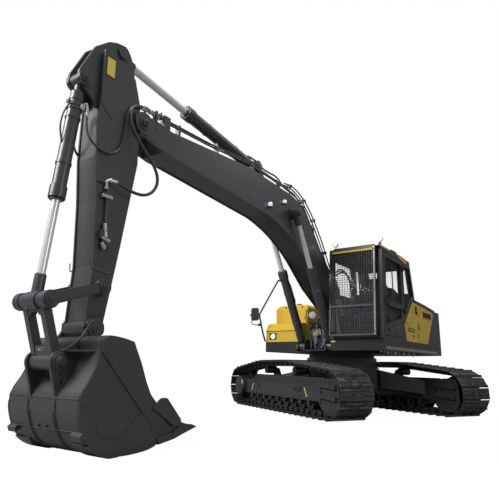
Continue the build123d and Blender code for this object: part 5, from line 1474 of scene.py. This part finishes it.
def left_side():
    """Louvres as slots of painted shade with sheets of painted shade behind them, lock, latch, blank sign,
    pull and the pale strip on the deck.
    """
    # painted shade: dark sheets behind the louvres
    Form().block((-0.715, SIDE - 0.036, 1.855), (-0.485, SIDE - 0.032, 2.005)).make(
        "louvre_back_door", "painted_shadow", "left_side_door")
    Form().block((-1.700, SIDE - 0.040, 1.780), (-1.060, SIDE - 0.0375, 1.920)).make(
        "louvre_back_panel", "painted_shadow", "upper")
    decal("side_sign", [(-20, 1556), (-30, 1488), (-462, 1480), (-474, 1552)], 1350.5, "left_side_door",
          "silver", 20)
    # rows of (name, body, low corner, high corner, count)
    for name, body, low, high, count in (
            ("door_louvres", "left_side_door", (-0.690, 1.852), (-0.552, 2.004), 4),
            ("slot_louvre", "left_side_door", (-0.400, 1.852), (-0.350, 1.940), 1),
            ("panel_louvres", "upper", (-1.720, 1.834), (-1.078, 1.946), 14)):
        # each louvre opening is a slot of painted shade
        slot_shades = Form()
        pitch = (high[0] - low[0]) / count
        for n in range(count):
            x = low[0] + pitch * n
            slot_shades.block((x, SIDE, low[1]), (x + min(pitch * 0.55, 0.034), SIDE + 0.0035, high[1]))
        slot_shades.make(name, "painted_shadow", body, smooth=False)
    Form().disc((-0.368, SIDE, 1.398), (0, 1, 0), 0.030, 0.004, 28).make(
        "side_door_lock", "black", "left_side_door")
    latch = Form()
    latch.block((-0.760, SIDE, 1.530), (-0.728, SIDE + 0.010, 1.680))
    latch.block((-0.770, SIDE, 1.575), (-0.718, SIDE + 0.014, 1.610))
    latch.make("side_latch", "decal_black", "upper", bevel=0.003)
    pull = ((-0.330, 1.960), (-0.365, 1.930), (-0.215, 1.745), (0.010, 1.600))
    Form().bead([(x, SIDE - 0.006, z) for x, z in pull], 0.007, 8).make(
        "side_door_pull", "yellow", "left_side_door")
    strip = Form()
    plate(strip, [(1232, 1112), (1232, 1160), (-2040, 1160), (-2040, 1112)], 1350, 0.006)
    strip.make("deck_strip", "beige", "upper", bevel=0.001)


def right_side():
    """Lifting eyes on the tank, the toolbox's lamp in its recess, and the mirror with its bracket."""
    dark = Form()
    for y in (-1.121, -0.727):
        dark.disc((0.262, y, 2.020), (0.6, 0, 0.6), 0.020, 0.012, 20)
        dark.disc((-0.350, y, 2.069), (0, 0, 1), 0.022, 0.006, 20)
    dark.block((0.620, -1.234, 1.588), (0.640, -1.129, 1.600))
    dark.make("tank_lifting_eyes", "black", "upper")
    lamp_y, lamp_z, ahead = -1.172, 1.402, (1, 0, 0.03)
    Form().block((0.6935, -1.262, 1.330), (0.7010, -1.102, 1.470)).make(
        "head_lamp_recess", "black", "upper", bevel=0.004)
    Form().turned((0.700, lamp_y, lamp_z), ahead, [(0, 0.058), (0.006, 0.058), (0.008, 0.054)], 32).make(
        "head_lamp_rim", "charcoal", "upper")
    Form().disc((0.708, lamp_y, lamp_z), ahead, 0.052, 0.007, 36, 0.4).make(
        "head_lamp_face", "lamp", "upper")
    tube("mirror_bracket", [(0.890, -1.383, 1.631), (0.885, -1.440, 1.628), (0.888, -1.520, 1.636),
                            (0.888, -1.572, 1.650), (0.888, -1.580, 1.700), (0.888, -1.560, 1.735)], 0.009,
         "black", "upper")
    clamp = Form()
    clamp.turned((0.890, -1.360, 1.631), (0, -1, 0), [(0, 0.026), (0.05, 0.026)], 18)
    clamp.disc((0.869, -1.610, 1.840), (0, -1, 0), 0.016, 0.022, 14)
    clamp.make("mirror_clamp", "black", "upper", bevel=0.003)
    Form().block((0.867, -1.575, 1.735), (0.8705, -1.425, 1.965)).make(
        "mirror_face", "chrome", "upper", bevel=0.002)


def deck_middle():
    """The swing motor's casting with its blank tag, and the valves at the boom's foot."""
    cast, dark = Form(), Form()
    cast.turned((0.870, -0.105, 1.430), (1, 0, 0.05),
                [(0, 0.088), (0.05, 0.092), (0.066, 0.080), (0.070, 0.055)], 36)
    cast.turned((0.900, -0.105, 1.380), (0, 0.1, -1), [(0, 0.050), (0.10, 0.034), (0.15, 0.022)], 20)
    cast.block((0.900, -0.200, 1.400), (0.935, -0.150, 1.450))
    lean = Matrix.Rotation(math.radians(14), 3, "X")
    for low, high in (((0.920, 0.005, 1.385), (0.950, 0.045, 1.500)),
                      ((0.920, 0.080, 1.380), (0.950, 0.135, 1.490))):
        cast.block(low, high, lean, low)
    for place in ((0.860, -0.195, 1.202), (0.860, -0.195, 1.300), (0.930, 0.150, 1.190),
                  (0.930, -0.190, 1.540), (0.930, -0.060, 1.545)):
        cast.turned(place, (1, 0, 0), [(0, 0.020), (0.02, 0.020), (0.03, 0.012)], 6)
    cast.make("swing_motor_casting", "silver", "upper", bevel=0.004)
    Form().block((0.938, -0.140, 1.385), (0.9445, -0.066, 1.458)).make(
        "foot_tag", "decal_yellow", "upper", bevel=0.001)
    dark.turned((0.780, 0.050, 1.140), (0, 0, 1),
                [(0, 0.150), (0.10, 0.150), (0.12, 0.125), (0.26, 0.110)], 32)
    dark.block((0.700, -0.230, 1.120), (0.880, -0.020, 1.350))
    for y, z, size in ((-0.200, 1.560, 0.040), (-0.100, 1.600, 0.034), (0.000, 1.570, 0.038),
                       (0.090, 1.590, 0.030)):
        dark.turned((0.780, y, z), (1, 0, 0.1), [(0, size), (0.09, size), (0.10, size * 0.7)], 18)
    dark.block((0.560, -0.240, 1.400), (0.860, 0.180, 1.620))
    dark.make("foot_valves", "soft_black", "upper", bevel=0.008)
    Form().turned((0.250, -0.500, 1.830), (1, 0.5, 0.2),
                  [(0, 0.060), (0.03, 0.075), (0.050, 0.075), (0.060, 0.05)], 36).make(
        "air_pod", "pale_trim", "upper", bevel=0.004)


def deck_hoses():
    """Short hoses and lines among the valves; the first two tables hold (y, z) points."""
    motor = ([(-0.190, 1.430), (-0.190, 1.360), (-0.180, 1.290), (-0.178, 1.200)],
             [(-0.151, 1.370), (-0.130, 1.300), (-0.110, 1.230), (-0.106, 1.150)],
             [(-0.195, 1.340), (-0.180, 1.300), (-0.170, 1.240), (-0.180, 1.150)],
             [(0.040, 1.395), (0.060, 1.300), (0.110, 1.220), (0.160, 1.150)],
             [(0.128, 1.394), (0.120, 1.300), (0.085, 1.209), (0.030, 1.150)])
    for n, route in enumerate(motor):
        x = 0.950 - 0.03 * (n % 2)
        hose(f"motor_hose_{n}", [(x, y, z) for y, z in route], 0.016, ("upper",), "grey")
    foot = ([(-0.090, 1.560), (-0.074, 1.672), (-0.023, 1.706), (0.064, 1.761), (0.085, 1.830)],
            [(-0.030, 1.560), (-0.011, 1.652), (0.030, 1.680), (0.090, 1.720), (0.110, 1.800)])
    for n, route in enumerate(foot):
        hose(f"foot_line_{n}", [(0.900, y, z) for y, z in route], 0.013, ("upper",), "grey")
    for n in range(5):
        y = -0.200 + 0.075 * n
        route = [(0.800, y, 1.600), (0.900, y, 1.640 + 0.02 * (n % 3)), (0.960, y + 0.02, 1.560),
                 (0.930, y + 0.035, 1.470), (0.860, y + 0.02, 1.400)]
        hose(f"deck_hose_{n}", route, 0.014, ("upper",))
    lines = ([(0.720, -0.385, 1.900), (0.720, -0.400, 1.820), (0.730, -0.385, 1.745), (0.740, -0.330, 1.690),
              (0.760, -0.282, 1.613), (0.800, -0.205, 1.540)],
             [(0.720, -0.430, 1.760), (0.730, -0.385, 1.690), (0.740, -0.330, 1.600),
              (0.790, -0.205, 1.520)])
    for n, route in enumerate(lines):
        hose(f"side_line_{n}", route, 0.010, ("upper",), "rubber")


def boom_back_lines():
    """Two looser lines that stand off the boom's back, from its bend down to the foot, and their clips."""
    route = [(2.520, 3.840), (2.300, 3.880), (2.090, 3.850), (1.830, 3.760), (1.584, 3.600), (1.355, 3.375),
             (1.097, 3.090), (0.900, 2.790), (0.760, 2.610)]
    for n, y in enumerate((0.176, 0.128)):
        tube(f"boom_back_line_{n}", [(x, y, z - 0.014 * n) for x, z in route], 0.012, "hose", "boom")
    clips = Form()
    for x, z, back_x, back_z in ((1.800, 3.735, 1.750, 3.440), (1.442, 3.460, 1.520, 3.180),
                                 (0.990, 2.930, 1.080, 2.700), (2.300, 3.862, 2.290, 3.670)):
        clips.bead([(back_x, 0.152, back_z), (x, 0.152, z)], 0.011, 6)
        clips.block((x - 0.022, 0.105, z - 0.022), (x + 0.022, 0.200, z + 0.022))
    clips.make("boom_back_clips", "soft_black", "boom", bevel=0.003)


def roof_side():
    """The yellow roof's drop at the back of the cab's left side and the dark cap before it."""
    band = Form()
    plate(band, [(347, 2890), (-173, 2846), (-190, 2786), (60, 2800), (205, 2815), (300, 2850)], 1350, 0.003)
    band.make("roof_band", "yellow", "upper", bevel=0.001)
    Form().block((0.365, 1.285, 2.872), (0.640, 1.347, 2.925)).make(
        "roof_side_cap", "soft_black", "upper", bevel=0.010)


def ram_pipes():
    """A feed pipe along each boom cylinder: rows of (way along it, share of the stand-off)."""
    rows = ((0.14, 0.86), (0.20, 1.12), (0.90, 1.12), (1.30, 1.12), (1.385, 1.06), (1.40, 0.80))
    for hand, side in ((1, "left"), (-1, "right")):
        start, end = at("boom_ram_foot", hand * RAM_Y), at("boom_ram_eye", hand * RAM_Y)
        run = (end - start).normalized()
        off = Vector((-run.z, 0, run.x)) * 0.098
        tube(f"boom_ram_pipe_{side}", [start + run * way + off * share for way, share in rows], 0.011,
             "charcoal", "boom_barrels")


front_marks()
boom_lamps()
left_side()
right_side()
deck_middle()
deck_hoses()
boom_back_lines()
roof_side()
ram_pipes()


# ------------------------------------------------------------------ rear, top and underside
def skin_point(x, y, z, way, node):
    """The point of a node's skin that is met first from (x, y, z), looking along way."""
    found, point, _, _ = nodes[node].ray_cast(Vector((x, y, z)), Vector(way))
    return point if found else None


def dress_hood():
    """Handles and louvres on the hood, following its slope."""
    bars, vents, down = Form(), Form(), (0, 0, -1)
    for y in (-0.720, 0.640):
        z = skin_point(-1.700, y, 5, down, "engine_hood").z
        bars.bead([(-1.760, y + across, z + rise) for across, rise in ((-0.11, -0.01), (-0.11, 0.045),
                                                                       (0.11, 0.045), (0.11, -0.01))],
                  0.010, 10)
    for y in (-0.900, -0.350, 0.200, 0.750):
        for n in range(9):
            x = -1.560 + 0.050 * n
            z = skin_point(x, y, 5, down, "engine_hood").z
            vents.prism([Vector((x + dx, y - 0.2, z + dz)) for dx, dz in ((0, -0.003), (0.034, -0.003),
                                                                          (0.030, 0.012), (0.004, 0.004))],
                        (0, 0.4, 0))
    bars.make("hood_handles", "soft_black", "engine_hood")
    vents.make("hood_louvres", "soft_black", "engine_hood", bevel=0.001)


def dress_counterweight():
    """Lifting eyes, the cast seams and their plugs."""
    eyes, seams, ahead = Form(), Form(), (1, 0, 0)
    for y in (-0.800, 0.800):
        point = skin_point(-2.250, y, 4.0, (0, 0, -1), "counterweight")
        eyes.turned(point - Vector((0, 0.022, 0.020)), (0, 1, 0), [(0, 0.055), (0.044, 0.055)], 28)
        eyes.block(point + Vector((-0.075, -0.022, -0.02)), point + Vector((0.075, 0.022, 0.022)))
    for height in (1.300, 1.830):
        points = [skin_point(-5, n * 0.118, height, ahead, "counterweight") for n in range(-10, 11)]
        points = [point + Vector((-0.001, 0, 0)) for point in points if point is not None]
        if len(points) > 3:
            seams.bead(points, 0.006, 6)
    for y in (-0.450, 0.450):
        point = skin_point(-5, y, 1.45, ahead, "counterweight")
        eyes.disc(point + Vector((0.002, 0, 0)), (-1, 0, 0), 0.045, 0.010, 32)
    eyes.make("counterweight_eyes", "soft_black", "upper", bevel=0.004)
    seams.make("counterweight_seams", "black", "upper")


def dress_deck():
    """Bolts on the deck's edges, brackets and a pipe under its left edge, and the tank's grips and cap."""
    places = []
    for n in range(9):
        x = 1.150 - 0.38 * n
        places.append((Vector((x, SIDE, 1.235)), turned_to((0, 1, 0)), 1))
        if n > 1:
            places.append((Vector((x, -SIDE, 1.235)), turned_to((0, -1, 0)), 1))
    repeat("deck_bolts", hexagon_bolt(0.011, 0.009), places, "zinc_dark", "upper")
    under, edge_z = Form(), 1.090
    # rows of (x, drop, length)
    for x, drop, length in ((1.180, 0.030, 0.05), (1.020, 0.045, 0.10), (0.840, 0.030, 0.06),
                            (0.640, 0.050, 0.12), (0.420, 0.030, 0.05), (0.180, 0.048, 0.09),
                            (-0.100, 0.030, 0.06), (-0.420, 0.040, 0.10)):
        under.block((x - length / 2, SIDE - 0.060, edge_z - drop), (x + length / 2, SIDE - 0.030, edge_z))
        under.rod((x, SIDE - 0.045, edge_z - drop - 0.030), (x, SIDE - 0.045, edge_z), 0.009, 8)
    under.make("under_deck_brackets", "grey", "upper", bevel=0.003)
    route = ((1.240, 0.080, 1.072), (0.900, 0.085, 1.060), (0.500, 0.080, 1.066), (0.100, 0.085, 1.060),
             (-0.500, 0.080, 1.070))
    tube("under_deck_pipe", [(x, SIDE - inward, z) for x, inward, z in route], 0.012, "zinc", "upper")
    grips = Form()
    for n in range(12):
        for m in range(3):
            grips.turned((-0.66 + 0.07 * n, -0.750 - 0.10 * m, 2.0695), (0, 0, 1),
                         [(0, 0.012), (0.004, 0.010)], 10)
    grips.make("tank_grips", "black", "upper")
    cap = Form()
    cap.disc((-0.100, -1.000, 2.114), (0, 0, 1), 0.062, 0.022, 32, 0.3)
    cap.block((-0.150, -1.010, 2.130), (-0.050, -0.990, 2.146))
    cap.make("filler_cap", "black", "upper", bevel=0.002)


dress_hood()
dress_counterweight()
dress_deck()


# ------------------------------------------------------------------ camera, floor and light
def direction(turn, lift):
    """A unit vector at this turn from +X and this lift from the ground, in degrees."""
    turn, lift = math.radians(turn), math.radians(lift)
    return Vector((math.cos(turn) * math.cos(lift), math.sin(turn) * math.cos(lift), math.sin(lift)))


CAMERA_PLACE, CAMERA_LENS = (9.181, 4.145, 0.808), 34.78
CAMERA_TURN, CAMERA_LIFT, CAMERA_LEAN = 214.94, 13.5, 0.82


def set_camera():
    looking = direction(CAMERA_TURN, CAMERA_LIFT)
    level = looking.cross(UP).normalized()
    lean = math.radians(CAMERA_LEAN)
    right = level * math.cos(lean) + level.cross(looking) * math.sin(lean)
    up = right.cross(looking)
    camera = added("camera", bpy.data.cameras.new("camera"))
    camera.data.lens = CAMERA_LENS
    camera.data.sensor_width = 36
    camera.data.clip_start = 0.05
    turn = Matrix((right, up, -looking)).transposed()
    camera.matrix_world = Matrix.Translation(CAMERA_PLACE) @ turn.to_4x4()
    bpy.context.scene.camera = camera


def floor_finish():
    """White to the camera, with a soft shadow near the machine; a grey card to everything else."""
    shader = Shader("pale_floor")
    shader.set(Base_Color=(0.22, 0.22, 0.22), Roughness=0.9)
    glow = shader.node("ShaderNodeEmission", None, {"Color": (1, 1, 1), "Strength": 1.13})
    flat = shader.node("ShaderNodeMapping", None, {"Vector": shader.place, "Scale": (1, 1, 0)})
    reach = shader.node("ShaderNodeVectorMath", {"operation": "DISTANCE"},
                        {0: flat, 1: (2.2, 0.0, 0.0)}, out="Value")
    far = shader.ramp(reach, 3.0, 9.0)
    seen = shader.node("ShaderNodeLightPath", out="Is Camera Ray")
    card = Signal(shader, shader.surface.outputs[0])
    blend = shader.node("ShaderNodeMixShader", None, {0: seen * (far * 0.14 + 0.86), 1: card, 2: glow})
    shader.tree.links.new(blend.socket, shader.tree.nodes["Material Output"].inputs[0])
    return shader.material


def lay_floor():
    mesh = bpy.data.meshes.new("floor")
    half = 60
    mesh.from_pydata([(-half, -half, 0), (half, -half, 0), (half, half, 0), (-half, half, 0)], [],
                     [(0, 1, 2, 3)])
    floor = added("floor", mesh)
    mesh.materials.append(floor_finish())


def light(name, turn, lift, distance, size, watts):
    """A square lamp that looks at the machine's middle."""
    lamp = bpy.data.lights.new(name, "AREA")
    lamp.size = size
    lamp.energy = watts
    holder = added(name, lamp)
    way = direction(turn, lift)
    target = Vector((2.5, 0, 1.6))
    holder.location = target + way * distance
    holder.rotation_euler = (-way).to_track_quat("-Z", "Y").to_euler()


def light_world(strength):
    """Full white to the camera and through glass, this strength to everything else."""
    world = bpy.data.worlds.new("studio")
    world.use_nodes = True
    tree = world.node_tree
    back = tree.nodes["Background"]
    back.inputs["Color"].default_value = (1, 1, 1, 1)
    path = tree.nodes.new("ShaderNodeLightPath")
    either = tree.nodes.new("ShaderNodeMath")
    either.operation = "MAXIMUM"
    tree.links.new(path.outputs["Is Camera Ray"], either.inputs[0])
    tree.links.new(path.outputs["Is Transmission Ray"], either.inputs[1])
    level = tree.nodes.new("ShaderNodeMix")
    level.inputs[2].default_value = strength
    level.inputs[3].default_value = 1.0
    tree.links.new(either.outputs[0], level.inputs[0])
    tree.links.new(level.outputs[0], back.inputs["Strength"])
    bpy.context.scene.world = world


set_camera()
lay_floor()
light_world(0.27)
# rows of (name, turn, lift, distance, size, watts)
for row in (("key", -20, 34, 13, 6, 1500), ("top", 25, 72, 12, 6, 720), ("rim", 150, 45, 14, 6, 120),
            ("side", 84, 18, 15, 6, 260)):
    light(*row)

scene = bpy.context.scene
scene.view_settings.view_transform = "Standard"
